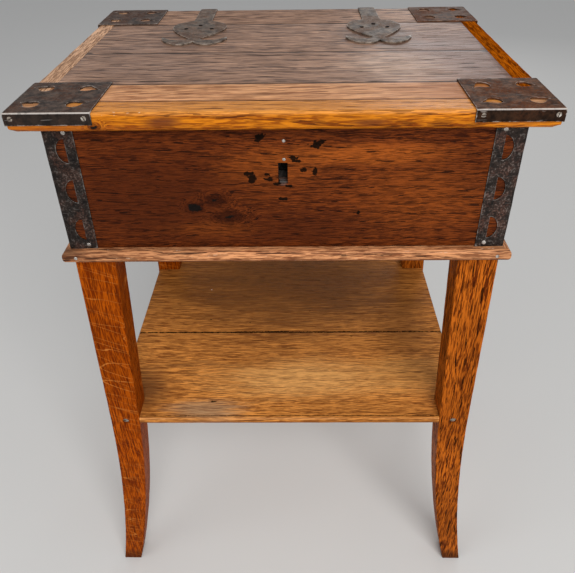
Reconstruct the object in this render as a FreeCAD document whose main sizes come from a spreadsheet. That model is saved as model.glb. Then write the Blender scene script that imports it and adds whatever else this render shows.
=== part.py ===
import FreeCAD, Part
import os
import re
import Sketcher

# A small oak sewing table: a lidded box with iron corners on four sabre legs with a low shelf.
# Millimetres, +Z up, front towards -Y. The origin is on the floor, under the middle of the table.
# Every height is measured from the floor, and every depth (Y) from the middle of the table.

SIZES = {
    # lid: boards, edging and where it lies
    "lid_width": 477, "lid_front": -201, "lid_back": 195, "lid_base": 697.5, "lid_thick": 18,
    "nosing_width": 28, "front_board_back": -125, "panel_joint": -18, "back_board_front": 112,
    "edging_width": 20, "edging_round": 6, "edging_arris": 2.5,
    # iron sheet, corner plates and their piercings
    "iron_thick": 1.5, "plate_width": 76, "plate_depth": 82, "plate_flange": 12,
    "pierce_radius": 7, "pierce_off_x": 17, "pierce_off_y": 21.5, "pierce_tail": 13.5,
    # box
    "box_width": 435, "box_front": -181, "box_back": 193, "box_base": 568, "box_height": 129.2,
    "wall_thick": 14, "bottom_thick": 8,
    # base moulding
    "rail_proud": 9, "rail_width": 56, "rail_thick": 14, "rail_round": 5.5,
    # corner angles with half-moon piercings
    "angle_width": 28.7, "moon_inset": 9.5, "moon_radius": 12.5, "moon_width": 9,
    "moon_high": 105, "moon_middle": 64, "moon_low": 22,
    # legs: distances of the inner and outer faces from the middle plane at three heights
    "leg_front": -179, "leg_depth": 36, "foot_depth": 29,
    "leg_top_inner": 177, "leg_top_outer": 218.5,
    "leg_knee_inner": 188.3, "leg_knee_outer": 224.6, "leg_knee": 314,
    "foot_inner": 233, "foot_outer": 258.5, "foot_bend": 6,
    # shelf
    "shelf_width": 445, "shelf_thick": 10, "shelf_joint": -10.5, "shelf_round": 3,
    # strap hinges
    "hinge_left": -107, "hinge_right": 107, "hinge_thick": 2, "strap_width": 22,
    "axis_behind": 3.8, "axis_below": 4, "knuckle_radius": 3.5, "pin_radius": 1.5,
    "pin_play": 0.05, "knuckle_middle": 8.4, "knuckle_gap": 0.3, "pin_head": 2.3,
    "leaf_width": 34, "leaf_height": 30,
    # lock, its keyhole, bolt and strike
    "lock_middle": -1.2, "lock_width": 70, "lock_depth": 12, "lock_height": 60, "lock_sheet": 1.5,
    "lock_below_lid": 1, "lock_ear": 10, "bolt_width": 14, "bolt_depth": 5, "bolt_length": 34,
    "bolt_play": 0.3, "bolt_travel": 8, "strike_width": 34, "strike_depth": 14,
    "mortise_play": 1, "mortise_depth": 10,
    "keyhole_width": 9, "keyhole_height": 21.5, "keyhole_middle": 648.8,
    "key_slot_bottom": 8.4, "key_slot_top": 8.8, "key_slot_below": 3.6, "key_slot_above": 10.6,
    # where the fasteners are: distances from ends and middles, or heights above a base
    "fastener_play": 0.05, "plate_screw_inset": 6.3, "plate_screw_stagger": 2.5,
    "strap_nail_spread": 15.5, "strap_nail_front": 82.5, "strap_nail_back": 98.5,
    "strap_screw_back": 151, "leaf_screw_spread": 9, "leaf_screw_rise": 11,
    "angle_nail_inset": 20.5, "angle_nail_low": 5, "angle_nail_high": 123,
    "keyhole_nail_low": 663, "keyhole_nail_high": 681, "rail_nail_inset": 14,
    "leg_screw_near": 188, "leg_screw_near_inset": 10,
    "leg_screw_far": 207, "leg_screw_far_inset": 26,
    "shelf_screw": 206, "sink_depth": 2, "sink_radius": 4.2, "sink_reach": 10,
    "lock_screw_low": 8, "lock_screw_high": 50, "strike_screw_spread": 12.5,
}

# Each group of fasteners: head radius, length and shank radius, and how deep a screw's head is
# countersunk or how far a nail's head stands out.
SCREW_SIZES = {
    "corner_plate_screws": {"head": 2.6, "length": 12, "shank": 1.25, "sunk": 1.5},
    "hinge_strap_screws": {"head": 3.2, "length": 15, "shank": 1.4, "sunk": 1.5},
    "hinge_leaf_screws": {"head": 3.2, "length": 13, "shank": 1.4, "sunk": 1.8},
    "leg_screws": {"head": 4, "length": 38, "shank": 2, "sunk": 2.5},
    "shelf_screws": {"head": 3.8, "length": 50, "shank": 1.9, "sunk": 2.2},
    "lock_case_screws": {"head": 2.6, "length": 11, "shank": 1.2, "sunk": 1.5},
    "strike_plate_screws": {"head": 2.4, "length": 11, "shank": 1.1, "sunk": 1.4},
}
NAIL_SIZES = {
    "hinge_strap_nails": {"head": 2.6, "rise": 1.0, "length": 14, "shank": 1.0},
    "corner_angle_nails": {"head": 2.2, "rise": 1.0, "length": 12, "shank": 0.9},
    "keyhole_plate_nails": {"head": 1.6, "rise": 0.7, "length": 9, "shank": 0.7},
    "moulding_nails": {"head": 1.8, "rise": 0.5, "length": 30, "shank": 0.9},
}

# Half of a hinge's outline on the lid: distance from the hinge's middle, and depth on the table.
STRAP_END = 126
STRAP_BULB = [(19, 120), (28, 111), (32, 100), (32.5, 89), (29.5, 77), (23, 63), (15.5, 50.5),
              (9, 41), (6.5, 36)]
STRAP_CROOK = [(6.5, 36), (16, 30), (28, 34), (37.5, 43)]
STRAP_HORN = [(37.5, 43), (36, 32), (28, 19), (17, 12), (6, 16), (0, 25)]

doc = FreeCAD.newDocument("SewingTable")
sheet = doc.addObject("Spreadsheet::Sheet", "Sizes")
for row, (alias, number) in enumerate(SIZES.items(), start=1):
    sheet.set(f"A{row}", alias)
    sheet.set(f"B{row}", str(number))
    sheet.setAlias(f"B{row}", alias)
doc.recompute()

SUB_PARTS = []
X_AXIS = FreeCAD.Vector(1, 0, 0)
Y_AXIS = FreeCAD.Vector(0, 1, 0)
Z_AXIS = FreeCAD.Vector(0, 0, 1)
SIDES = {"left": -1, "right": 1}
ENDS = {"front": -1, "back": 1}


def formula(text):
    """Turn the plain names of the sheet's cells into an expression of the document."""
    return re.sub(r"[a-z][a-z_]+", r"Sizes.\g<0>", text)


def value(text):
    """The number that an expression in the sheet's names gives."""
    return float(sheet.evalExpression(formula(text)))


def bind(item, **properties):
    for name, text in properties.items():
        item.setExpression(name, formula(text))


def place(item, x="0", y="0", z="0"):
    for axis, text in zip("xyz", (x, y, z)):
        item.setExpression(f"Placement.Base.{axis}", formula(text))


def sub_part(label, item):
    """Register a finished piece under the name that its file gets."""
    item.Label = label
    SUB_PARTS.append(item)
    return item


def new_body(name):
    return doc.addObject("PartDesign::Body", name)


def origin_plane(body, role):
    return next(plane for plane in body.Origin.OriginFeatures if plane.Role == role)


def sketch_on(body, role, name, offset=None):
    """A sketch on one of the body's own planes, moved along its normal by an expression."""
    sketch = body.newObject("Sketcher::SketchObject", name)
    sketch.AttachmentSupport = [(origin_plane(body, role), "")]
    sketch.MapMode = "FlatFace"
    if offset:
        sketch.setExpression("AttachmentOffset.Base.z", formula(offset))
    return sketch


def pin_point(sketch, edge, end, x, y):
    """Hold one end of a sketch edge at the place that two expressions give."""
    for kind, text in (("DistanceX", x), ("DistanceY", y)):
        number = sketch.addConstraint(Sketcher.Constraint(kind, edge, end, value(text)))
        sketch.setExpression(f"Constraints[{number}]", formula(text))


def outline(sketch, corners):
    """Closed outline of straight sides through corners given as pairs of expressions."""
    points = [FreeCAD.Vector(value(x), value(y), 0) for x, y in corners]
    edges = []
    for start, end in zip(points, points[1:] + points[:1]):
        edges.append(sketch.addGeometry(Part.LineSegment(start, end)))
    for edge, following in zip(edges, edges[1:] + edges[:1]):
        sketch.addConstraint(Sketcher.Constraint("Coincident", edge, 2, following, 1))
    for edge, (x, y) in zip(edges, corners):
        pin_point(sketch, edge, 1, x, y)


def pad(body, sketch, length, reverse=False):
    """Thicken a sketch along its normal, or against it."""
    feature = body.newObject("PartDesign::Pad", f"{sketch.Name}Pad")
    feature.Profile = sketch
    feature.Reversed = reverse
    bind(feature, Length=length)
    sketch.Visibility = False
    doc.recompute()
    return feature


def pocket(body, sketch, length, reverse=False):
    """Cut a sketch out of the body, and make sure that something was cut."""
    before = body.Shape.Volume
    feature = body.newObject("PartDesign::Pocket", f"{sketch.Name}Pocket")
    feature.Profile = sketch
    feature.Reversed = reverse
    bind(feature, Length=length)
    doc.recompute()
    if body.Shape.Volume >= before:
        raise ValueError(f"{sketch.Name} cuts nothing")
    return feature


def solid_block(body, low, high, kind="PartDesign::AdditiveBox"):
    """Add a block to a body, or take one away, between two corners given as expressions."""
    block = body.newObject(kind, f"{body.Name}Block")
    sizes = [f"({end}) - ({start})" for start, end in zip(low, high)]
    bind(block, Length=sizes[0], Width=sizes[1], Height=sizes[2])
    for axis, text in zip("xyz", low):
        block.setExpression(f"AttachmentOffset.Base.{axis}", formula(text))
    block.AttachmentSupport = [(origin_plane(body, "XY_Plane"), "")]
    block.MapMode = "FlatFace"
    doc.recompute()
    return block


def round_edges(body, wanted, radius):
    """Round every edge of the body that the given test picks out."""
    tip = body.Tip
    picked = [f"Edge{n}" for n, edge in enumerate(tip.Shape.Edges, start=1) if wanted(edge)]
    fillet = body.newObject("PartDesign::Fillet", f"{body.Name}Round")
    fillet.Base = (tip, picked)
    bind(fillet, Radius=radius)
    doc.recompute()
    return fillet


def along(edge, axis):
    """True for a straight edge that runs along an axis."""
    ends = [vertex.Point for vertex in edge.Vertexes]
    return len(ends) == 2 and (ends[1] - ends[0]).cross(axis).Length < 0.01


def middle(edge):
    return edge.BoundBox.Center


def board(name, low, high):
    """A sawn board between two corners."""
    body = new_body(name)
    solid_block(body, low, high)
    return body


def cut(name, base, *tools):
    """The base piece with one tool or several taken out of it."""
    for number, tool in enumerate(tools):
        result = doc.addObject("Part::Cut", f"{name}Cut{number}")
        result.Base = base
        result.Tool = tool
        base = result
    doc.recompute()
    return base


def free_shape(name, shape):
    """A piece, or a cutting tool, whose shape is worked out here from the sheet's sizes."""
    feature = doc.addObject("Part::Feature", name)
    feature.Shape = shape
    feature.Placement = FreeCAD.Placement()
    return feature


# ---------------------------------------------------------------- fasteners

def turned(profile):
    """Solid of revolution about Z from (radius, height) points."""
    points = [FreeCAD.Vector(radius, 0, height) for radius, height in profile]
    face = Part.Face(Part.makePolygon(points + points[:1]))
    return face.revolve(FreeCAD.Vector(0, 0, 0), Z_AXIS, 360)


def screw_shape(head, length, shank, sunk, play=0.0):
    """Countersunk screw, its flat head at the origin and its shank going down."""
    profile = [(0, play), (head + play, play), (head + play, -0.2), (shank + play, -sunk)]
    profile += [(shank + play, shank - length), (0, -length - play)]
    return turned(profile)


def slotted(shape, head):
    """Cut the driver slot across a screw head."""
    slot_width, slot_depth = 0.8, 0.5
    slot = Part.makeBox(4 * head, slot_width, 2 * slot_depth)
    slot.translate(FreeCAD.Vector(-2 * head, -slot_width / 2, -slot_depth))
    return shape.cut(slot)


def nail_shape(head, rise, length, shank, play=0.0):
    """Nail with a domed head that stands on the surface at the origin."""
    profile = [(0, -length), (shank + play, shank - length), (shank + play, 0)]
    if not play:
        profile += [(head, 0), (head, 0.3 * rise), (0.6 * head, 0.85 * rise), (0, rise)]
    else:
        profile += [(shank + play, rise), (0, rise)]
    return turned(profile)


def copies(shape, spots):
    """Compound of a fastener at each (place, outward direction)."""
    placed = []
    for spot, outward in spots:
        copy = shape.copy()
        turn = FreeCAD.Rotation(Z_AXIS, FreeCAD.Vector(outward))
        copy.Placement = FreeCAD.Placement(FreeCAD.Vector(spot), turn)
        placed.append(copy)
    return Part.makeCompound(placed)


def screws(name, spots):
    """Make a group of like screws, and return the tool that makes their countersunk holes."""
    size = SCREW_SIZES[name]
    sub_part(name, free_shape(name, copies(slotted(screw_shape(**size), size["head"]), spots)))
    holes = copies(screw_shape(**size, play=value("fastener_play")), spots)
    return free_shape(f"{name}_holes", holes)


def nails(name, spots):
    """Make a group of like nails, and return the tool that makes their holes."""
    size = NAIL_SIZES[name]
    sub_part(name, free_shape(name, copies(nail_shape(**size), spots)))
    holes = copies(nail_shape(**size, play=value("fastener_play")), spots)
    return free_shape(f"{name}_holes", holes)


# ---------------------------------------------------------------- places of the fasteners

LID_TOP = "(lid_base + lid_thick)"
BOX_TOP = "(box_base + box_height)"
lid_half = value("lid_width / 2")
box_half = value("box_width / 2")
iron = value("iron_thick")
lid_top = value(LID_TOP)
hinge_middles = {side: value(f"hinge_{side}") for side in SIDES}

# Two slotted screws in each folded edge of each corner plate, flush with the iron.
flange_height = lid_top + iron - value("plate_flange / 2")
end_inset = value("plate_screw_inset")
plate_spots = []
for side in SIDES.values():
    for end, edge in ((-1, value("lid_front")), (1, value("lid_back"))):
        outer_y = edge + end * iron
        outer_x = side * (lid_half + iron)
        for reach in (end_inset, value("plate_width") - end_inset):
            plate_spots.append(((outer_x - side * reach, outer_y, flange_height), (0, end, 0)))
        for reach in (end_inset + value("plate_screw_stagger"), value("plate_depth") - end_inset):
            plate_spots.append(((outer_x, outer_y - end * reach, flange_height), (side, 0, 0)))
plate_screw_holes = screws("corner_plate_screws", plate_spots)

# Three nails through each hinge's bulb and a slotted screw near the lid's back edge.
strap_top = lid_top + value("hinge_thick")
nail_spread, nail_front = value("strap_nail_spread"), value("strap_nail_front")
strap_nail_spots = []
for centre in hinge_middles.values():
    for x, y in ((centre - nail_spread, nail_front), (centre + nail_spread, nail_front),
                 (centre, value("strap_nail_back"))):
        strap_nail_spots.append(((x, y, strap_top), (0, 0, 1)))
strap_nail_holes = nails("hinge_strap_nails", strap_nail_spots)
strap_screw_spots = [((centre, value("strap_screw_back"), strap_top), (0, 0, 1))
                     for centre in hinge_middles.values()]
strap_screw_holes = screws("hinge_strap_screws", strap_screw_spots)

# Two screws hold each box leaf of the hinges.
leaf_face = value("box_back + hinge_thick")
leaf_screw_height = value("lid_base - axis_below - leaf_height + leaf_screw_rise")
leaf_spots = []
for centre in hinge_middles.values():
    for side in SIDES.values():
        x = centre + side * value("leaf_screw_spread")
        leaf_spots.append(((x, leaf_face, leaf_screw_height), (0, 1, 0)))
leaf_screw_holes = screws("hinge_leaf_screws", leaf_spots)

# Round-head nails near both ends of both wings of the corner angles.
angle_inset = value("angle_nail_inset")
angle_spots = []
for side in SIDES.values():
    for end, face in ((-1, value("box_front")), (1, value("box_back"))):
        for rise in ("angle_nail_low", "angle_nail_high"):
            height = value(f"box_base + {rise}")
            wing_x = side * (box_half + iron)
            wing_y = face + end * iron
            angle_spots.append(((wing_x - side * angle_inset, wing_y, height), (0, end, 0)))
            angle_spots.append(((wing_x, wing_y - end * angle_inset, height), (side, 0, 0)))
angle_nail_holes = nails("corner_angle_nails", angle_spots)

# Two nails that once held a keyhole plate.
bare_spots = [((0, value("box_front"), value(height)), (0, -1, 0))
              for height in ("keyhole_nail_low", "keyhole_nail_high")]
bare_nail_holes = nails("keyhole_plate_nails", bare_spots)

# A nail across each mitre of the base moulding, driven from the front or the back.
rail_nail_x = value("box_width / 2 + rail_proud - rail_nail_inset")
rail_nail_height = value("box_base - rail_thick / 2")
rail_spots = []
for side in SIDES.values():
    for end, face in ((-1, value("box_front - rail_proud")), (1, value("box_back + rail_proud"))):
        rail_spots.append(((side * rail_nail_x, face, rail_nail_height), (0, end, 0)))
rail_nail_holes = nails("moulding_nails", rail_spots)

# Screws through the base moulding into the top of each leg, one either side of the mitre.
leg_screw_spots = []
for side in SIDES.values():
    for end, face in ((-1, value("leg_front")), (1, value("box_back"))):
        for which in ("leg_screw_near", "leg_screw_far"):
            y = face - end * value(f"{which}_inset")
            leg_screw_spots.append(((side * value(which), y, value("box_base")), (0, 0, 1)))
leg_screw_holes = screws("leg_screws", leg_screw_spots)

# A screw sunk in each leg at the height of the shelf, driven into the shelf's notch.
shelf_screw_height = value("leg_knee - shelf_thick / 2")
shelf_spots = []
for side in SIDES.values():
    for end, face in ((-1, value("leg_front")), (1, value("box_back"))):
        spot = (side * value("shelf_screw"), face - end * value("sink_depth"), shelf_screw_height)
        shelf_spots.append((spot, (0, end, 0)))
shelf_screw_holes = screws("shelf_screws", shelf_spots)
sink = Part.makeCylinder(value("sink_radius"), value("sink_reach"))
sink_holes = free_shape("shelf_screw_sinks", copies(sink, shelf_spots))

# Four screws hold the lock case to the front board from inside, two hold its strike.
lock_x = value("lock_middle")
lock_face = value("box_front + wall_thick + lock_sheet")
lock_base = value("lid_base - lock_below_lid - lock_height")
lock_spots = []
for side in SIDES.values():
    for rise in ("lock_screw_low", "lock_screw_high"):
        x = lock_x + side * value("lock_width / 2 + lock_ear / 2")
        lock_spots.append(((x, lock_face, lock_base + value(rise)), (0, 1, 0)))
lock_screw_holes = screws("lock_case_screws", lock_spots)
bolt_middle = value("box_front + wall_thick + lock_depth / 2")
strike_spots = []
for side in SIDES.values():
    x = lock_x + side * value("strike_screw_spread")
    strike_spots.append(((x, bolt_middle, value("lid_base")), (0, 0, -1)))
strike_screw_holes = screws("strike_plate_screws", strike_spots)


# ---------------------------------------------------------------- lid

def edge_strip(name, low, high, outer, across):
    """Lid edging with a round lower edge and an eased arris, on its outer long side."""
    body = board(name, low, high)
    direction = X_AXIS if across == "y" else Y_AXIS
    level = "XYZ".index(across.upper())

    def outer_edge(edge, height):
        place_of_edge = middle(edge)
        right_side = abs(place_of_edge[level] - value(outer)) < 0.01
        return along(edge, direction) and right_side and abs(place_of_edge.z - height) < 0.01

    round_edges(body, lambda edge: outer_edge(edge, value("lid_base")), "edging_round")
    round_edges(body, lambda edge: outer_edge(edge, lid_top), "edging_arris")
    return body


NOSING_BACK = "lid_front + nosing_width"
PANEL_HALF = "(lid_width / 2 - edging_width)"
nosing = edge_strip("Nosing", ("-lid_width / 2", "lid_front", "lid_base"),
                    ("lid_width / 2", NOSING_BACK, LID_TOP), "lid_front", "y")
sub_part("lid_front_nosing", cut("Nosing", nosing, plate_screw_holes))

for side, sign in SIDES.items():
    outer = f"{sign} * lid_width / 2"
    inner = f"{sign} * {PANEL_HALF}"
    low_x, high_x = (outer, inner) if sign < 0 else (inner, outer)
    strip = edge_strip(f"Edging{side}", (low_x, NOSING_BACK, "lid_base"),
                       (high_x, "lid_back", LID_TOP), outer, "x")
    sub_part(f"lid_{side}_edging", cut(f"Edging{side}", strip, plate_screw_holes))

LOCK_LINE = "(box_front + wall_thick + lock_depth / 2)"
mortise = board("BoltMortise",
                ("lock_middle - bolt_width / 2 - mortise_play",
                 f"{LOCK_LINE} - bolt_depth / 2 - mortise_play", "lid_base - mortise_play"),
                ("lock_middle + bolt_width / 2 + mortise_play",
                 f"{LOCK_LINE} + bolt_depth / 2 + mortise_play", "lid_base + mortise_depth"))
STRIKE_LOW = ("lock_middle - strike_width / 2", f"{LOCK_LINE} - strike_depth / 2", "lid_base")
STRIKE_HIGH = ("lock_middle + strike_width / 2", f"{LOCK_LINE} + strike_depth / 2",
               "lid_base + iron_thick")
strike_recess = board("StrikeRecess", STRIKE_LOW, STRIKE_HIGH)
lid_boards = {
    "lid_front_board": (NOSING_BACK, "front_board_back", (mortise, strike_recess)),
    "lid_panel_front_board": ("front_board_back", "panel_joint", ()),
    "lid_panel_back_board": ("panel_joint", "back_board_front", ()),
    "lid_back_board": ("back_board_front", "lid_back", ()),
}
for label, (front, back, tools) in lid_boards.items():
    piece = board(label.title().replace("_", ""), (f"-{PANEL_HALF}", front, "lid_base"),
                  (PANEL_HALF, back, LID_TOP))
    fastener_holes = (plate_screw_holes, strap_nail_holes, strap_screw_holes, strike_screw_holes)
    sub_part(label, cut(label, piece, *tools, *fastener_holes))

strike = board("StrikePlate", STRIKE_LOW, STRIKE_HIGH)
sub_part("lock_strike_plate", cut("Strike", strike, mortise, strike_screw_holes))


def corner_plate(side, sign, end_name, end):
    """Iron plate folded down over the lid's two outer edges, with four leaf-shaped piercings."""
    body = new_body(f"Plate{end_name}{side}")
    outer_x = f"{sign} * (lid_width / 2 + iron_thick)"
    inner_x = f"{sign} * (lid_width / 2 + iron_thick - plate_width)"
    edge = "lid_front - iron_thick" if end < 0 else "lid_back + iron_thick"
    reach = f"{edge} - ({end}) * plate_depth"
    x_pair = (outer_x, inner_x) if sign < 0 else (inner_x, outer_x)
    y_pair = (edge, reach) if end < 0 else (reach, edge)
    base = f"{LID_TOP} + iron_thick - plate_flange"
    solid_block(body, (x_pair[0], y_pair[0], base),
                (x_pair[1], y_pair[1], f"{LID_TOP} + iron_thick"))
    wood_x = (f"{x_pair[0]} + {max(0, -sign)} * iron_thick - {max(0, sign)}",
              f"{x_pair[1]} - {max(0, sign)} * iron_thick + {max(0, -sign)}")
    wood_y = (f"{y_pair[0]} + {max(0, -end)} * iron_thick - {max(0, end)}",
              f"{y_pair[1]} - {max(0, end)} * iron_thick + {max(0, -end)}")
    solid_block(body, (wood_x[0], wood_y[0], f"{base} - 1"), (wood_x[1], wood_y[1], LID_TOP),
                "PartDesign::SubtractiveBox")
    piercings = sketch_on(body, "XY_Plane", f"Pierce{end_name}{side}",
                          f"{LID_TOP} + iron_thick")
    centre_x = f"{sign} * (lid_width / 2 + iron_thick - plate_width / 2)"
    centre_y = f"({edge} - ({end}) * plate_depth / 2)"
    for across in (-1, 1):
        for forth in (-1, 1):
            leaf(piercings, f"{centre_x} + ({across}) * pierce_off_x",
                 f"{centre_y} + ({forth}) * pierce_off_y", across, forth)
    pocket(body, piercings, "iron_thick")
    return body


def leaf(sketch, x, y, across, forth):
    """A round leaf with a pointed tail that reaches outwards."""
    tip = FreeCAD.Vector(value(f"{x} + ({across}) * pierce_tail"), value(f"{y} + ({forth}) * 2"), 0)
    centre = FreeCAD.Vector(value(x), value(y), 0)
    radius = value("pierce_radius")
    upper = centre + FreeCAD.Vector(0.35 * across * radius, 0.937 * radius, 0)
    lower = centre + FreeCAD.Vector(0.35 * across * radius, -0.937 * radius, 0)
    back = centre - FreeCAD.Vector(across * radius, 0, 0)
    arc = sketch.addGeometry(Part.Arc(upper, back, lower))
    first = sketch.addGeometry(Part.LineSegment(lower, tip))
    second = sketch.addGeometry(Part.LineSegment(tip, upper))
    starts_up = (sketch.getPoint(arc, 1) - upper).Length < 0.001
    upper_end, lower_end = (1, 2) if starts_up else (2, 1)
    sketch.addConstraint(Sketcher.Constraint("Coincident", arc, lower_end, first, 1))
    sketch.addConstraint(Sketcher.Constraint("Coincident", first, 2, second, 1))
    sketch.addConstraint(Sketcher.Constraint("Coincident", second, 2, arc, upper_end))
    pin_point(sketch, arc, 3, x, y)
    size = sketch.addConstraint(Sketcher.Constraint("Radius", arc, radius))
    sketch.setExpression(f"Constraints[{size}]", formula("pierce_radius"))


for side, sign in SIDES.items():
    for end_name, end in ENDS.items():
        plate = corner_plate(side, sign, end_name, end)
        sub_part(f"corner_plate_{end_name}_{side}", cut(f"Plate{end_name}{side}", plate,
                                                        plate_screw_holes))


# ---------------------------------------------------------------- hinges

AXIS_Y = "(box_back + axis_behind)"
AXIS_Z = "(lid_base - axis_below)"


def barrel(name, radius, start, end):
    """Round bar along the hinge axis, between two X expressions."""
    bar = doc.addObject("Part::Cylinder", name)
    bar.Placement = FreeCAD.Placement(FreeCAD.Vector(), FreeCAD.Rotation(Y_AXIS, 90))
    bind(bar, Radius=radius, Height=f"({end}) - ({start})")
    place(bar, start, AXIS_Y, AXIS_Z)
    return bar


def fuse(name, *pieces):
    result = doc.addObject("Part::MultiFuse", name)
    result.Shapes = list(pieces)
    result.Refine = True
    doc.recompute()
    return result


def strap_outline(centre):
    """Strap, heart-shaped bulb and two crescent horns, as one flat face on the lid's top."""
    half_strap = value("strap_width / 2")
    edges = []
    for sign in SIDES.values():
        for run in ([(half_strap, STRAP_END)] + STRAP_BULB, STRAP_CROOK, STRAP_HORN):
            curve = Part.BSplineCurve()
            curve.interpolate([FreeCAD.Vector(centre + sign * x, y, lid_top) for x, y in run])
            edges.append(curve.toShape())
    back = value("lid_back + hinge_thick")
    corners = [FreeCAD.Vector(centre + x, y, lid_top) for x, y in
               ((-half_strap, STRAP_END), (-half_strap, back), (half_strap, back),
                (half_strap, STRAP_END))]
    edges += [Part.LineSegment(a, b).toShape() for a, b in zip(corners, corners[1:])]
    return Part.Face(Part.Wire(Part.__sortEdges__(edges)))


def strap_leaf(side, centre):
    """Lid half of a hinge: flat strap, tab over the lid's back edge and two knuckles."""
    flat = strap_outline(value(centre)).extrude(FreeCAD.Vector(0, 0, value("hinge_thick")))
    strap = free_shape(f"Strap{side}", flat)
    half = "strap_width / 2"
    tab = board(f"Tab{side}", (f"{centre} - {half}", "lid_back", AXIS_Z),
                (f"{centre} + {half}", "lid_back + hinge_thick", f"{LID_TOP} + hinge_thick"))
    knuckles = barrel(f"LidBarrel{side}", "knuckle_radius", f"{centre} - {half}",
                      f"{centre} + {half}")
    gap = "(knuckle_middle / 2 + knuckle_gap)"
    notch = board(f"Notch{side}",
                  (f"{centre} - {gap}", "lid_back - 5", f"{AXIS_Z} - knuckle_radius - 1"),
                  (f"{centre} + {gap}", "lid_back + 10",
                   f"{AXIS_Z} + knuckle_radius + knuckle_gap"))
    bore = barrel(f"LidBore{side}", "pin_radius + pin_play", f"{centre} - {half} - 1",
                  f"{centre} + {half} + 1")
    whole = fuse(f"StrapLeaf{side}", strap, tab, knuckles)
    return cut(f"StrapLeaf{side}", whole, notch, bore, strap_nail_holes, strap_screw_holes)


def box_leaf(side, centre):
    """Box half of a hinge: a plate on the back board with the middle knuckle."""
    half_middle = "knuckle_middle / 2"
    top_of_plate = f"{AXIS_Z} - knuckle_radius - 0.5"
    plate = board(f"Leaf{side}",
                  (f"{centre} - leaf_width / 2", "box_back", f"{AXIS_Z} - leaf_height"),
                  (f"{centre} + leaf_width / 2", "box_back + hinge_thick", top_of_plate))
    tongue = board(f"Tongue{side}", (f"{centre} - {half_middle}", "box_back", top_of_plate),
                   (f"{centre} + {half_middle}", "box_back + hinge_thick", AXIS_Z))
    knuckle = barrel(f"BoxBarrel{side}", "knuckle_radius", f"{centre} - {half_middle}",
                     f"{centre} + {half_middle}")
    bore = barrel(f"BoxBore{side}", "pin_radius + pin_play", f"{centre} - knuckle_middle",
                  f"{centre} + knuckle_middle")
    whole = fuse(f"BoxLeaf{side}", plate, tongue, knuckle)
    return cut(f"BoxLeaf{side}", whole, bore, leaf_screw_holes)


def hinge_pin(side, centre):
    """Pin with a small peened head at each end."""
    half = "strap_width / 2"
    head_gap, head_thick = "0.2", "1.2"
    shaft = barrel(f"PinShaft{side}", "pin_radius", f"{centre} - {half} - {head_gap}",
                   f"{centre} + {half} + {head_gap}")
    heads = [barrel(f"PinHeadLow{side}", "pin_head",
                    f"{centre} - {half} - {head_gap} - {head_thick}",
                    f"{centre} - {half} - {head_gap}"),
             barrel(f"PinHeadHigh{side}", "pin_head", f"{centre} + {half} + {head_gap}",
                    f"{centre} + {half} + {head_gap} + {head_thick}")]
    return fuse(f"Pin{side}", shaft, *heads)


for side in SIDES:
    middle_name = f"hinge_{side}"
    sub_part(f"hinge_strap_{side}", strap_leaf(side, middle_name))
    sub_part(f"hinge_box_leaf_{side}", box_leaf(side, middle_name))
    sub_part(f"hinge_pin_{side}", hinge_pin(side, middle_name))


# ---------------------------------------------------------------- box

HALF = "box_width / 2"
INNER_FRONT = "box_front + wall_thick"
INNER_BACK = "box_back - wall_thick"
box_holes = (angle_nail_holes, bare_nail_holes, leaf_screw_holes, lock_screw_holes)
keyhole = board("Keyhole",
                ("lock_middle - keyhole_width / 2", "box_front - 1",
                 "keyhole_middle - keyhole_height / 2"),
                ("lock_middle + keyhole_width / 2", f"{INNER_FRONT} + 1",
                 "keyhole_middle + keyhole_height / 2"))
front = board("BoxFront", (f"-{HALF}", "box_front", "box_base"), (HALF, INNER_FRONT, BOX_TOP))
sub_part("box_front_board", cut("BoxFront", front, keyhole, *box_holes))
back = board("BoxBack", (f"-{HALF}", INNER_BACK, "box_base"), (HALF, "box_back", BOX_TOP))
sub_part("box_back_board", cut("BoxBack", back, *box_holes))
for side, sign in SIDES.items():
    pair = sorted((f"{sign} * {HALF}", f"{sign} * ({HALF} - wall_thick)"), key=value)
    wall = board(f"BoxSide{side}", (pair[0], INNER_FRONT, "box_base"),
                 (pair[1], INNER_BACK, BOX_TOP))
    sub_part(f"box_{side}_board", cut(f"BoxSide{side}", wall, *box_holes))
bottom = board("BoxBottom", (f"-({HALF} - wall_thick)", INNER_FRONT, "box_base"),
               (f"{HALF} - wall_thick", INNER_BACK, "box_base + bottom_thick"))
sub_part("box_bottom_board", bottom)


def moulding(name, corners, outer_face):
    """Base moulding with mitred ends and a rounded nose along its outer side."""
    body = new_body(name)
    plan = sketch_on(body, "XY_Plane", f"{name}Plan", "box_base - rail_thick")
    outline(plan, corners)
    pad(body, plan, "rail_thick")
    round_edges(body, lambda edge: outer_face(middle(edge)) and not along(edge, Z_AXIS),
                "rail_round")
    return cut(name, body, leg_screw_holes, rail_nail_holes)


NOSE = "(box_width / 2 + rail_proud)"
NOSE_IN = "(box_width / 2 + rail_proud - rail_width)"
for end_name, end in ENDS.items():
    nose_y = f"(box_{end_name} + {end} * rail_proud)"
    inner_y = f"({nose_y} - {end} * rail_width)"
    corners = [(f"-{NOSE}", nose_y), (NOSE, nose_y), (NOSE_IN, inner_y), (f"-{NOSE_IN}", inner_y)]
    level = value(nose_y)
    piece = moulding(f"Moulding{end_name}", corners, lambda spot, y=level: abs(spot.y - y) < 0.01)
    sub_part(f"base_moulding_{end_name}", piece)
for side, sign in SIDES.items():
    nose_x = f"{sign} * {NOSE}"
    inner_x = f"{sign} * {NOSE_IN}"
    corners = [(nose_x, "box_front - rail_proud"), (inner_x, "box_front - rail_proud + rail_width"),
               (inner_x, "box_back + rail_proud - rail_width"), (nose_x, "box_back + rail_proud")]
    level = value(nose_x)
    piece = moulding(f"Moulding{side}", corners, lambda spot, x=level: abs(spot.x - x) < 0.01)
    sub_part(f"base_moulding_{side}", piece)


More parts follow.
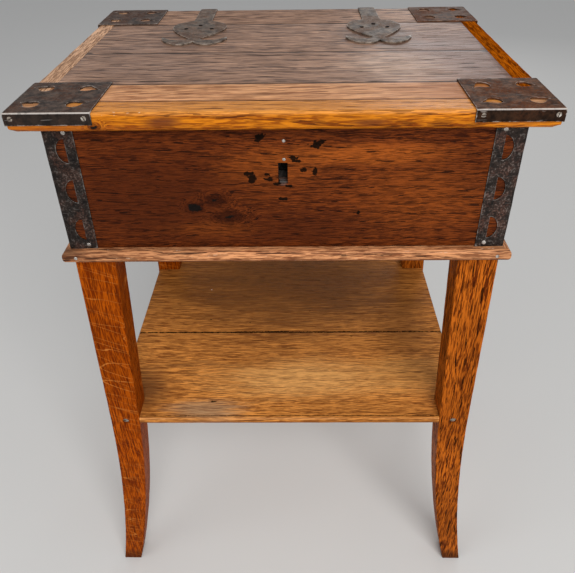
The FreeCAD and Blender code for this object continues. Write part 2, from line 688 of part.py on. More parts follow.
def half_moons(body, name, role, offset, straight, bulge, cut_reverse):
    """Three half-moon piercings up one wing, each a short straight side and an arc."""
    sketch = sketch_on(body, role, name, offset)
    radius = value("moon_radius")
    for height in ("moon_high", "moon_middle", "moon_low"):
        middle_z = f"box_base + {height}"
        centre_off = value("moon_width") - radius
        flat = value(straight)
        rise = (radius ** 2 - centre_off ** 2) ** 0.5
        top = FreeCAD.Vector(flat, value(middle_z) + rise, 0)
        low = FreeCAD.Vector(flat, value(middle_z) - rise, 0)
        far = FreeCAD.Vector(flat + bulge * value("moon_width"), value(middle_z), 0)
        line = sketch.addGeometry(Part.LineSegment(low, top))
        arc = sketch.addGeometry(Part.Arc(top, far, low))
        first = 1 if (sketch.getPoint(arc, 1) - top).Length < 0.001 else 2
        sketch.addConstraint(Sketcher.Constraint("Coincident", line, 2, arc, first))
        sketch.addConstraint(Sketcher.Constraint("Coincident", line, 1, arc, 3 - first))
        sketch.addConstraint(Sketcher.Constraint("Vertical", line))
        pin_point(sketch, arc, 3, f"{straight} + ({bulge}) * (moon_width - moon_radius)", middle_z)
        size = sketch.addConstraint(Sketcher.Constraint("Radius", arc, radius))
        sketch.setExpression(f"Constraints[{size}]", formula("moon_radius"))
    pocket(body, sketch, "iron_thick", cut_reverse)


def corner_angle(side, sign, end_name, end):
    """Iron angle up one corner of the box, pierced on both wings."""
    body = new_body(f"Angle{end_name}{side}")
    outer_x = f"{sign} * ({HALF} + iron_thick)"
    inner_x = f"{sign} * ({HALF} + iron_thick - angle_width)"
    face = "box_front" if end < 0 else "box_back"
    outer_y = f"({face} + ({end}) * iron_thick)"
    inner_y = f"({outer_y} - ({end}) * angle_width)"
    plan = sketch_on(body, "XY_Plane", f"AnglePlan{end_name}{side}", "box_base")
    outline(plan, [(outer_x, outer_y), (inner_x, outer_y), (inner_x, face),
                   (f"{sign} * {HALF}", face), (f"{sign} * {HALF}", inner_y), (outer_x, inner_y)])
    pad(body, plan, "box_height")
    half_moons(body, f"MoonsX{end_name}{side}", "XZ_Plane", f"-({outer_y})",
               f"{sign} * ({HALF} + iron_thick - angle_width + moon_inset)", sign, end > 0)
    half_moons(body, f"MoonsY{end_name}{side}", "YZ_Plane", outer_x,
               f"{outer_y} - ({end}) * (angle_width - moon_inset)", end, sign < 0)
    return cut(f"Angle{end_name}{side}", body, angle_nail_holes)


for side, sign in SIDES.items():
    for end_name, end in ENDS.items():
        sub_part(f"corner_angle_{end_name}_{side}", corner_angle(side, sign, end_name, end))


# ---------------------------------------------------------------- lock

LOCK_LEFT = "lock_middle - lock_width / 2"
LOCK_RIGHT = "lock_middle + lock_width / 2"
LOCK_TOP = "(lid_base - lock_below_lid)"
LOCK_BASE = f"({LOCK_TOP} - lock_height)"
LOCK_BACK = f"{INNER_FRONT} + lock_depth"
case = new_body("LockCase")
solid_block(case, (LOCK_LEFT, INNER_FRONT, LOCK_BASE), (LOCK_RIGHT, LOCK_BACK, LOCK_TOP))
solid_block(case, (f"{LOCK_LEFT} - lock_ear", INNER_FRONT, LOCK_BASE),
            (f"{LOCK_RIGHT} + lock_ear", f"{INNER_FRONT} + lock_sheet", LOCK_TOP))
solid_block(case, (f"{LOCK_LEFT} + lock_sheet", f"{INNER_FRONT} + lock_sheet",
                   f"{LOCK_BASE} + lock_sheet"),
            (f"{LOCK_RIGHT} - lock_sheet", f"{LOCK_BACK} - lock_sheet",
             f"{LOCK_TOP} - lock_sheet"), "PartDesign::SubtractiveBox")
solid_block(case, ("lock_middle - bolt_width / 2 - bolt_play",
                   f"{LOCK_LINE} - bolt_depth / 2 - bolt_play", f"{LOCK_TOP} - lock_sheet - 1"),
            ("lock_middle + bolt_width / 2 + bolt_play",
             f"{LOCK_LINE} + bolt_depth / 2 + bolt_play", f"{LOCK_TOP} + 1"),
            "PartDesign::SubtractiveBox")
key_slot = sketch_on(case, "XZ_Plane", "KeySlot", f"-({INNER_FRONT})")
outline(key_slot, [("lock_middle - key_slot_bottom / 2", "keyhole_middle - key_slot_below"),
                   ("lock_middle + key_slot_bottom / 2", "keyhole_middle - key_slot_below"),
                   ("lock_middle + key_slot_top / 2", "keyhole_middle + key_slot_above"),
                   ("lock_middle - key_slot_top / 2", "keyhole_middle + key_slot_above")])
pocket(case, key_slot, "lock_sheet")
sub_part("lock_case", cut("LockCase", case, lock_screw_holes))

bolt = board("LockBolt",
             ("lock_middle - bolt_width / 2", f"{LOCK_LINE} - bolt_depth / 2",
              f"{LOCK_TOP} - bolt_length"),
             ("lock_middle + bolt_width / 2", f"{LOCK_LINE} + bolt_depth / 2", LOCK_TOP))
sub_part("lock_bolt", bolt)


# ---------------------------------------------------------------- legs and shelf

LEG_TOP = "(box_base - rail_thick)"


def leg_outline(sketch, sign):
    """Front view of a leg: straight above the shelf, then both sides sweep outwards."""
    def spot(name, height):
        return f"{sign} * {name}", height

    outer = [spot("leg_top_outer", LEG_TOP), spot("leg_knee_outer", "leg_knee"),
             spot("foot_outer", "0")]
    inner = [spot("leg_top_inner", LEG_TOP), spot("leg_knee_inner", "leg_knee"),
             spot("foot_inner", "0")]
    sides = []
    for top, knee, foot in (outer, inner):
        top_point, knee_point, foot_point = [FreeCAD.Vector(value(x), value(y), 0)
                                             for x, y in (top, knee, foot)]
        bend = (knee_point + foot_point) / 2 - FreeCAD.Vector(sign * value("foot_bend"), 0, 0)
        line = sketch.addGeometry(Part.LineSegment(top_point, knee_point))
        arc = sketch.addGeometry(Part.Arc(knee_point, bend, foot_point))
        knee_end = 1 if (sketch.getPoint(arc, 1) - knee_point).Length < 0.001 else 2
        pin_point(sketch, line, 1, *top)
        pin_point(sketch, line, 2, *knee)
        pin_point(sketch, arc, 3 - knee_end, *foot)
        sketch.addConstraint(Sketcher.Constraint("Tangent", line, 2, arc, knee_end))
        sides.append((line, arc, 3 - knee_end))
    (outer_line, outer_arc, outer_foot), (inner_line, inner_arc, inner_foot) = sides
    for first, first_end, second, second_end in ((outer_line, 1, inner_line, 1),
                                                 (outer_arc, outer_foot, inner_arc, inner_foot)):
        cross = sketch.addGeometry(Part.LineSegment(sketch.getPoint(first, first_end),
                                                    sketch.getPoint(second, second_end)))
        sketch.addConstraint(Sketcher.Constraint("Coincident", cross, 1, first, first_end))
        sketch.addConstraint(Sketcher.Constraint("Coincident", cross, 2, second, second_end))


def leg(side, sign, end_name, end):
    """Sabre leg, thinner front to back towards the foot on its inner side."""
    body = new_body(f"Leg{end_name}{side}")
    outer_y = "leg_front" if end < 0 else "box_back"
    front_view = sketch_on(body, "XZ_Plane", f"LegView{end_name}{side}", f"-({outer_y})")
    leg_outline(front_view, sign)
    pad(body, front_view, "leg_depth", end < 0)
    inner_y = f"({outer_y} - ({end}) * leg_depth)"
    taper = sketch_on(body, "YZ_Plane", f"LegTaper{end_name}{side}", f"{sign} * foot_outer")
    outline(taper, [(inner_y, "leg_knee - shelf_thick"),
                    (f"{outer_y} - ({end}) * foot_depth", "0"),
                    (f"{outer_y} - ({end}) * foot_depth", "-1"),
                    (f"{inner_y} - ({end}) * 1", "-1"),
                    (f"{inner_y} - ({end}) * 1", "leg_knee - shelf_thick")])
    pocket(body, taper, "foot_outer - leg_top_inner", sign < 0)
    return cut(f"Leg{end_name}{side}", body, leg_screw_holes, shelf_screw_holes, sink_holes)


for side, sign in SIDES.items():
    for end_name, end in ENDS.items():
        sub_part(f"leg_{end_name}_{side}", leg(side, sign, end_name, end))


def shelf_board(name, end):
    """Half of the shelf, notched round two legs, with a rounded outer edge."""
    outer_y = "leg_front" if end < 0 else "box_back"
    notch_y = f"({outer_y} - ({end}) * leg_depth)"
    half = "shelf_width / 2"
    body = new_body(name)
    plan = sketch_on(body, "XY_Plane", f"{name}Plan", "leg_knee - shelf_thick")
    outline(plan, [("-leg_knee_inner", outer_y), ("leg_knee_inner", outer_y),
                   ("leg_knee_inner", notch_y), (half, notch_y), (half, "shelf_joint"),
                   (f"-{half}", "shelf_joint"), (f"-{half}", notch_y),
                   ("-leg_knee_inner", notch_y)])
    pad(body, plan, "shelf_thick")
    level = value(outer_y)
    round_edges(body, lambda edge: along(edge, X_AXIS) and abs(middle(edge).y - level) < 0.01,
                "shelf_round")
    return cut(name, body, shelf_screw_holes)


sub_part("shelf_front_board", shelf_board("ShelfFront", -1))
sub_part("shelf_back_board", shelf_board("ShelfBack", 1))


# ---------------------------------------------------------------- check and write

doc.recompute()
for item in doc.Objects:
    if "Invalid" in item.State or "Error" in item.State:
        raise ValueError(f"{item.Name} failed: {item.State}")
os.makedirs("parts", exist_ok=True)
for item in SUB_PARTS:
    shape = item.Shape
    if shape.isNull() or not shape.isValid() or not shape.Solids:
        raise ValueError(f"{item.Label} has no valid solid")
    shape.exportStep(os.path.join("parts", f"{item.Label}.step"))
    print(f"{item.Label:28s} solids {len(shape.Solids):2d} volume {shape.Volume / 1000:9.2f} cm3")
print(f"{len(SUB_PARTS)} sub-parts")
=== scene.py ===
import math

import bmesh
import bpy
from mathutils import Matrix, Vector, geometry, noise


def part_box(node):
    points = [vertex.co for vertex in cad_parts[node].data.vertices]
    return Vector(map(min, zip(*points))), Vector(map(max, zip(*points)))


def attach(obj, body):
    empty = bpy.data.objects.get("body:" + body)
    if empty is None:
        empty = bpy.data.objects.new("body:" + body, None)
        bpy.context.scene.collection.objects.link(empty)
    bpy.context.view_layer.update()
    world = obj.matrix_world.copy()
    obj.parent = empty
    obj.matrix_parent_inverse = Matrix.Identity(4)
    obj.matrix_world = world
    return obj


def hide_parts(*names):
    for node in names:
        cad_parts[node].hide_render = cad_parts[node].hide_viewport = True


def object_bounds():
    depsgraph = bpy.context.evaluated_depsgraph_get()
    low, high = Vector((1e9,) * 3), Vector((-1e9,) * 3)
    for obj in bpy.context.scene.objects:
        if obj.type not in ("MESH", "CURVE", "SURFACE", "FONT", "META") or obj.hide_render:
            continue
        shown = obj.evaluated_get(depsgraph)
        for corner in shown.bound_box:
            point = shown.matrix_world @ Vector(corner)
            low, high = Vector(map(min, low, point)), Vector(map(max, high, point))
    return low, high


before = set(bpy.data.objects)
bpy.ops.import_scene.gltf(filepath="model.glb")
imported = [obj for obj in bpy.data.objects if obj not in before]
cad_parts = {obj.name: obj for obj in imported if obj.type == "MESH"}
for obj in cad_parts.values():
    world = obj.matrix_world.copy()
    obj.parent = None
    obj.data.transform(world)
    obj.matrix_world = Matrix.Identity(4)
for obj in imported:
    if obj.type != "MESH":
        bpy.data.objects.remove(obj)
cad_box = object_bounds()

# Looks of the oak sewing table: most pieces that show are rebuilt here as finer meshes in the place
# of their CAD nodes, and the rest keep their CAD mesh. Metres, in the CAD's frame. "edge" is a mesh
# attribute that is 1 on an arris and fades to 0 a few millimetres away; the materials read it for
# wear.

MM = 0.001
WAVE, RUB = 90 * MM, 18 * MM        # how far apart a surface's waves and its rubbed places are
LID, TABLE = "lid", "table"
SIDES = {"left": -1, "right": 1}
ENDS = {"front": -1, "back": 1}
CORNERS = [(side, end) for side in SIDES for end in ENDS]


# ---- mesh helpers

def mm(*sizes):
    """Metres from millimetres."""
    return tuple(size * MM for size in sizes)


def smooth_noise(point, size, seed=0.0):
    """Perlin noise between -1 and 1 whose features are about `size` metres across."""
    return noise.noise(Vector(point) / size + Vector((seed * 7.31, seed * 3.17, seed * 5.71)))


def add_to_scene(name, data):
    """Object that shows a mesh, a lamp or a camera."""
    thing = bpy.data.objects.new(name, data)
    bpy.context.scene.collection.objects.link(thing)
    return thing


def make_object(name, verts, faces, edge=None):
    """Mesh object; edge is each vertex's closeness to an arris."""
    mesh = bpy.data.meshes.new(name)
    mesh.from_pydata([tuple(v) for v in verts], [], faces)
    if edge is not None:
        layer = mesh.attributes.new("edge", "FLOAT", "POINT")
        layer.data.foreach_set("value", edge)
    mesh.validate()
    mesh.update()
    return add_to_scene(name, mesh)


def tidy_normals(piece, angle=35):
    """Point every face outwards, shade smooth and keep the edges sharper than `angle`."""
    work = bmesh.new()
    work.from_mesh(piece.data)
    bmesh.ops.recalc_face_normals(work, faces=work.faces)
    work.to_mesh(piece.data)
    work.free()
    piece.data.shade_smooth()
    piece.data.set_sharp_from_angle(angle=math.radians(angle))
    return piece


def dress(piece, material, body, *nodes):
    """Give a piece its material, its body and the CAD nodes that it stands for."""
    piece.data.materials.clear()
    piece.data.materials.append(material)
    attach(piece, body)
    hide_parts(*nodes)
    return piece


def carve(piece, cutters, angle=35):
    """Cut closed meshes out of a piece and remove them."""
    for cutter in cutters:
        change = piece.modifiers.new("carve", "BOOLEAN")
        change.operation = "DIFFERENCE"
        change.solver = "EXACT"
        change.object = cutter
    graph = bpy.context.evaluated_depsgraph_get()
    mesh = bpy.data.meshes.new_from_object(piece.evaluated_get(graph))
    piece.modifiers.clear()
    piece.data = mesh
    for cutter in cutters:
        bpy.data.objects.remove(cutter)
    return tidy_normals(piece, angle)


def block(name, low, high):
    """Plain closed box, used only to carve with."""
    corners = [(x, y, z) for x in (low[0], high[0]) for y in (low[1], high[1])
               for z in (low[2], high[2])]
    faces = [(0, 1, 3, 2), (4, 6, 7, 5), (0, 4, 5, 1), (2, 3, 7, 6), (0, 2, 6, 4), (1, 5, 7, 3)]
    return make_object(name, corners, faces)


def spaced(length, step):
    """Even stations from 0 to length, no further apart than step."""
    count = max(1, math.ceil(length / step))
    return [length * i / count for i in range(count + 1)]


def rounded_section(low, high, radii, step, corner_steps=4):
    """Points round a rectangle with rounded corners: [(a, b, closeness to a corner)].

    The radii go round from (low, low) to (high, low), (high, high) and (low, high)."""
    corners = [(low[0], low[1]), (high[0], low[1]), (high[0], high[1]), (low[0], high[1])]
    inward = [(1, 1), (-1, 1), (-1, -1), (1, -1)]
    loop = []
    for index, ((ca, cb), (ia, ib), radius) in enumerate(zip(corners, inward, radii)):
        centre = (ca + ia * radius, cb + ib * radius)
        start = math.pi + index * math.pi / 2
        arc = []
        for turn in range(corner_steps + 1):
            angle = start + turn / corner_steps * math.pi / 2
            arc.append((centre[0] + radius * math.cos(angle), centre[1] + radius * math.sin(angle)))
        loop += [(a, b, 0.0) for a, b in arc]
        following = (index + 1) % 4
        next_corner, next_radius = corners[following], radii[following]
        axis = index % 2
        run = next_corner[axis] - corners[index][axis]
        target = next_corner[axis] - math.copysign(next_radius, run)
        span = target - arc[-1][axis]
        for along in spaced(abs(span), step)[1:-1]:
            spot = list(arc[-1])
            spot[axis] += math.copysign(along, span)
            loop.append((spot[0], spot[1], min(along, abs(span) - along)))
    return loop


def between_rings(base, count):
    """Faces from the ring of vertices that starts at base to the ring after it."""
    return [(base + i, base + (i + 1) % count, base + count + (i + 1) % count, base + count + i)
            for i in range(count)]


EDGE_FADE = 3.5 * MM


def board(name, low, high, grain="x", radii=(0.8 * MM,) * 4, end_round=0.6 * MM, step=9 * MM,
          wobble=0.18 * MM, worn=0.25 * MM, seed=0.0, reshape=None):
    """Board with eased edges, made of sections along its grain, slightly uneven and worn.

    The section's axes are the two that follow the grain's in the order x, y, z.
    reshape(point) may move a point before the unevenness is added."""
    axis = "xyz".index(grain)
    across = [(1, 2), (0, 2), (0, 1)][axis]
    section = rounded_section([low[i] for i in across], [high[i] for i in across], radii, step)
    middle = [(low[i] + high[i]) / 2 for i in across]
    length = high[axis] - low[axis]
    stations = [(0.0, end_round), (0.3 * end_round, 0.3 * end_round), (end_round, 0.0)]
    near, far = 2 * end_round, length - 2 * end_round
    stations += [(s, 0.0) for s in spaced(length, step) if near < s < far]
    stations += [(length - s, inset) for s, inset in reversed(stations[:3])]
    verts, edge = [], []
    for along, inset in stations:
        for a, b, away in section:
            point = Vector()
            point[axis] = low[axis] + along
            point[across[0]] = a - math.copysign(inset, a - middle[0])
            point[across[1]] = b - math.copysign(inset, b - middle[1])
            if reshape:
                point = reshape(point)
            closeness = math.exp(-min(away, along, length - along) / EDGE_FADE)
            push = 0.5 * wobble * (smooth_noise(point, WAVE, seed) - 1)
            push -= worn * closeness * max(0.0, smooth_noise(point, RUB, seed + 1) + 0.15)
            outward = Vector()
            for i, place, centre in zip(across, (a, b), middle):
                share = (place - centre) / (high[i] - low[i])
                outward[i] = math.copysign(1, share) if abs(share) > 0.42 else 0
            verts.append(point + outward.normalized() * push if outward.length else point)
            edge.append(closeness)
    count = len(section)
    faces = [tuple(reversed(range(count)))]
    for ring in range(len(stations) - 1):
        faces += between_rings(ring * count, count)
    faces.append(tuple(range((len(stations) - 1) * count, len(stations) * count)))
    return tidy_normals(make_object(name, verts, faces, edge))


def plank(label, body, material, seed, axis="x", ease=0.6 * MM, wobble=0.18 * MM, holes=()):
    """A plain board in the place of a CAD node, with holes cut by closed meshes."""
    piece = board(label + "_wood", *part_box(label), axis, (ease,) * 4, seed=seed, wobble=wobble)
    if holes:
        carve(piece, holes)
    return dress(piece, material, body, label)


FOLD_ROWS = mm(0, 0.8, 1.7, 2.5)        # rows of points after the start of a fold
FOLD_CLEAR = 0.2 * MM


def on_sheet(spot, outlines):
    """True if a spot is inside the first outline and outside the others, the holes."""
    return inside(spot, outlines[0]) and not any(inside(spot, hole) for hole in outlines[1:])


def flat_net(outlines, step, folds=((), ())):
    """Evenly triangulated flat sheet: the first outline is its rim, the others are its holes.

    folds gives the x values and the y values at which the sheet will be bent."""
    drawn, constraints = [], []
    for outline in outlines:
        base = len(drawn)
        drawn += [Vector(p) for p in outline]
        constraints += [(base + i, base + (i + 1) % len(outline)) for i in range(len(outline))]
    low = [min(p[i] for p in outlines[0]) for i in (0, 1)]
    size = [max(p[i] for p in outlines[0]) - low[i] for i in (0, 1)]

    def free(spot, clear):
        return on_sheet(spot, outlines) and all((spot - p).length > clear for p in drawn)

    rows = enumerate(spaced(size[0], step))
    shifts = (-0.25 * step, 0.25 * step)
    grid = [Vector((low[0] + x, low[1] + y + shifts[i % 2]))
            for i, x in rows for y in spaced(size[1], step)]
    points = drawn + [spot for spot in grid if free(spot, 0.4 * step)]
    for axis, places in enumerate(folds):
        for across in (place + shift for place in places for shift in FOLD_ROWS):
            for along in spaced(size[1 - axis], step):
                spot = Vector((across, low[1] + along) if axis == 0 else (low[0] + along, across))
                if free(spot, FOLD_CLEAR):
                    points.append(spot)
    verts, _, faces, _, _, _ = geometry.delaunay_2d_cdt(points, constraints, [], 0, 1e-7)
    return verts, [tuple(face) for face in faces
                   if on_sheet(sum((verts[i] for i in face), Vector((0, 0))) / 3, outlines)]


def inside(point, outline):
    """True if a point is inside a closed outline."""
    crossed = False
    for (x0, y0), (x1, y1) in zip(outline, outline[1:] + outline[:1]):
        if (y0 > point[1]) != (y1 > point[1]):
            if point[0] < (x1 - x0) * (point[1] - y0) / (y1 - y0) + x0:
                crossed = not crossed
    return crossed


def dense(outline, step):
    """The same closed outline with points no further apart than step."""
    result = []
    for start, end in zip(outline, outline[1:] + outline[:1]):
        start, end = Vector(start), Vector(end)
        parts = max(1, math.ceil((end - start).length / step))
        result += [tuple(start.lerp(end, i / parts)) for i in range(parts)]
    return result


SHEET_SHARP = 50                    # degrees; folds of sheet iron stay smooth below it
RIM_FADE, CREASE_FADE = mm(1.5, 1.3)


def sheet_metal(name, outlines, surface, thickness, step=4 * MM, dent=0.12 * MM, dent_size=0.012,
                rim_round=0.3 * MM, seed=0.0, folds=((), ())):
    """Sheet iron bent over a surface: surface(u, v) gives the outer point, its normal and how
    near a crease it is, from 0 to 1.

    The rims of the sheet and of its holes are rounded, and the faces are hammered."""
    outlines = [dense(outline, step) for outline in outlines]
    flat, triangles = flat_net(outlines, step, folds)
    rim_edges = {}
    for tri in triangles:
        for a, b in zip(tri, tri[1:] + tri[:1]):
            key = (min(a, b), max(a, b))
            rim_edges[key] = None if key in rim_edges else (a, b)
    rim_edges = [pair for pair in rim_edges.values() if pair]
    on_rim = {i for pair in rim_edges for i in pair}
    rim_spots = [flat[i] for i in on_rim]
    verts, edge = [], []
    for layer in (0.0, thickness):
        for index, spot in enumerate(flat):
            point, normal, crease = surface(spot[0], spot[1])
            hammered = 0.7 * dent * (smooth_noise(point, dent_size, seed) - 0.7)
            hammered += 0.3 * dent * (smooth_noise(point, dent_size * 0.4, seed + 2) - 0.7)
            if index in on_rim:
                closeness = 1.0
            else:
                closeness = math.exp(-min((spot - r).length for r in rim_spots) / RIM_FADE)
            closeness = max(closeness, crease)
            verts.append(point + normal * (hammered - layer))
            edge.append(closeness if layer == 0.0 else 0.0)
    count = len(flat)
    faces = list(triangles)
    faces += [tuple(i + count for i in reversed(tri)) for tri in triangles]
    faces += [(b, a, a + count, b + count) for a, b in rim_edges]
    piece = make_object(name, verts, faces, edge)
    work = bmesh.new()
    work.from_mesh(piece.data)
    work.verts.ensure_lookup_table()
    outer = [work.edges.get((work.verts[a], work.verts[b])) for a, b in rim_edges]
    bmesh.ops.bevel(work, geom=[e for e in outer if e], offset=rim_round, segments=2, affect="EDGES",
                    profile=0.5, clamp_overlap=True)
    work.to_mesh(piece.data)
    work.free()
    return tidy_normals(piece, SHEET_SHARP)


def folded(start, radius, position):
    """Outer skin of a sheet folded down at 90 degrees.

    Gives the run, the drop, the normal's two parts and the closeness to the fold."""
    bend = radius * math.pi / 2
    crease = math.exp(-abs(position - start - 0.5 * bend) / CREASE_FADE)
    if position <= start:
        return position, 0.0, 0.0, 1.0, crease
    if position < start + bend:
        angle = (position - start) / radius
        return (start + radius * math.sin(angle), radius * (1 - math.cos(angle)),
                math.sin(angle), math.cos(angle), crease)
    return start + radius, radius + position - start - bend, 1.0, 0.0, crease


def turned(name, profile, segments=20):
    """Closed solid of revolution about Z from (radius, height) points, first and last on Z."""
    verts = [(0, 0, profile[0][1])]
    for radius, height in profile[1:-1]:
        for i in range(segments):
            angle = 2 * math.pi * i / segments
            verts.append((radius * math.cos(angle), radius * math.sin(angle), height))
    verts.append((0, 0, profile[-1][1]))
    last = len(verts) - 1
    rows = len(profile) - 2
    faces = [(0, 1 + (i + 1) % segments, 1 + i) for i in range(segments)]
    for row in range(rows - 1):
        faces += between_rings(1 + row * segments, segments)
    base = 1 + (rows - 1) * segments
    faces += [(base + i, base + (i + 1) % segments, last) for i in range(segments)]
    return make_object(name, verts, faces)


def islands(label):
    """Lowest and highest corner of each separate piece inside a CAD node."""
    work = bmesh.new()
    work.from_mesh(bpy.data.objects[label].data)
    bmesh.ops.remove_doubles(work, verts=work.verts, dist=0.01 * MM)
    seen, found = set(), []
    for first in work.verts:
        if first in seen:
            continue
        group, waiting = [], [first]
        seen.add(first)
        while waiting:
            vert = waiting.pop()
            group.append(vert.co.copy())
            for link in vert.link_edges:
                other = link.other_vert(vert)
                if other not in seen:
                    seen.add(other)
                    waiting.append(other)
        found.append((Vector([min(c[i] for c in group) for i in range(3)]),
                      Vector([max(c[i] for c in group) for i in range(3)])))
    work.free()
    return found


def join_copies(name, pattern, spots):
    """One object from copies of a pattern at each (place, outward direction, turn)."""
    work = bmesh.new()
    for place, outward, turn in spots:
        start = len(work.verts)
        work.from_mesh(pattern.data)
        work.verts.ensure_lookup_table()
        spin = Matrix.Rotation(turn, 4, "Z")
        aim = Vector(outward).to_track_quat("Z", "Y").to_matrix().to_4x4()
        move = Matrix.Translation(place) @ aim @ spin
        for vert in work.verts[start:]:
            vert.co = move @ vert.co
    mesh = bpy.data.meshes.new(name)
    work.to_mesh(mesh)
    work.free()
    bpy.data.objects.remove(pattern)
    return tidy_normals(add_to_scene(name, mesh))


# ---- node helpers

class Field:
    """A value that varies over a surface; arithmetic on it adds Math nodes."""

    def __init__(self, paint, socket):
        self.paint = paint
        self.socket = socket

    def math(self, operation, other=0.0, clamp=False):
        """This value and another, put through a Math node."""
        node = self.paint.node("Math", {0: self, 1: other}, operation=operation,
                               use_clamp=clamp)
        return Field(self.paint, node.outputs[0])

    def __add__(self, other):
        return self.math("ADD", other)

    def __sub__(self, other):
        return self.math("SUBTRACT", other)

    def __mul__(self, other):
        return self.math("MULTIPLY", other)

    def highest(self, other):
        """The larger of two values."""
        return self.math("MAXIMUM", other)

    def ramp(self, low, high, to_low=0.0, to_high=1.0):
        """Smooth step from one range to another."""
        inputs = {0: self, 1: low, 2: high, 3: to_low, 4: to_high}
        node = self.paint.node("MapRange", inputs, interpolation_type="SMOOTHSTEP")
        return Field(self.paint, node.outputs[0])


class Paint:
    """A material in the making: its nodes, and the colour laid so far."""

    def __init__(self, name):
        self.material = bpy.data.materials.new(name)
        self.material.use_nodes = True
        self.tree = self.material.node_tree
        self.tree.nodes.clear()
        self.coords = self.node("TexCoord").outputs["Object"]
        self.edge = self.field("Attribute", {}, "Fac", attribute_name="edge")
        self.colour = None

    def node(self, kind, inputs=None, **settings):
        """Add a node; an input is a field or a socket to link, or a value to set."""
        node = self.tree.nodes.new("ShaderNode" + kind)
        for name, setting in settings.items():
            setattr(node, name, setting)
        for name, entry in (inputs or {}).items():
            entry = getattr(entry, "socket", entry)
            if isinstance(entry, bpy.types.NodeSocket):
                self.tree.links.new(entry, node.inputs[name])
            else:
                node.inputs[name].default_value = entry
        return node

    def field(self, kind, inputs, output=0, **settings):
        """Add a node and give one of its outputs."""
        return Field(self, self.node(kind, inputs, **settings).outputs[output])

    def places(self):
        """Distances along X, Y and Z."""
        return [self.field("SeparateXYZ", {0: self.coords}, axis) for axis in range(3)]

    def noise(self, stretch=(1, 1, 1), scale=1.0, detail=3.0, rough=0.55, shift=0.0,
              distort=0.0, coords=None):
        """Noise with features stretched along axes; scale and stretch are per metre."""
        mapping = self.node("Mapping", {"Vector": coords or self.coords,
                                                  "Scale": stretch,
                                                  "Location": (shift, shift * 1.7, shift * 0.6)})
        return self.field("TexNoise",
                          {"Vector": mapping.outputs[0], "Scale": scale, "Detail": detail,
                           "Roughness": rough, "Distortion": distort}, "Fac")

    def blob(self, centre, size):
        """Distance from a centre in an ellipsoid's half-sizes, so 1 on its surface."""
        mapping = self.node("Mapping",
                            {"Vector": self.coords, "Scale": [1 / s for s in size],
                             "Location": [-c / s for c, s in zip(centre, size)]})
        return self.field("VectorMath", {0: mapping.outputs[0]}, "Value",
                          operation="LENGTH")

    def lay(self, colour, share):
        """Lay a share of a colour over what is there."""
        mix = self.node("Mix", {0: share, 6: self.colour, 7: (*colour, 1.0)}, data_type="RGBA")
        self.colour = mix.outputs[2]

    def finish(self, rough, shine, height, bump, depth, metallic=0.0):
        """Join the colour and the relief in a shader, and give the material."""
        relief = self.node("Bump",
                           {"Height": height, "Strength": bump, "Distance": depth})
        shader = self.node("BsdfPrincipled",
                           {"Base Color": self.colour, "Roughness": rough, "Metallic": metallic,
                            "Normal": relief.outputs[0], "Specular IOR Level": shine})
        self.node("OutputMaterial", {"Surface": shader.outputs[0]})
        return self.material


# ---- wood

HAIR, STREAK, BAND = 0.7, 0.35, 0.2       # strength of the three widths of grain
# near black of a knot's open hole: painted shade
KNOT_HOLE_SHADE = (0.006, 0.004, 0.003)
CHIP = (0.005, 0.004, 0.003)
RAY = (0.52, 0.17, 0.03)
PAINT_DROP = (0.72, 0.68, 0.62)


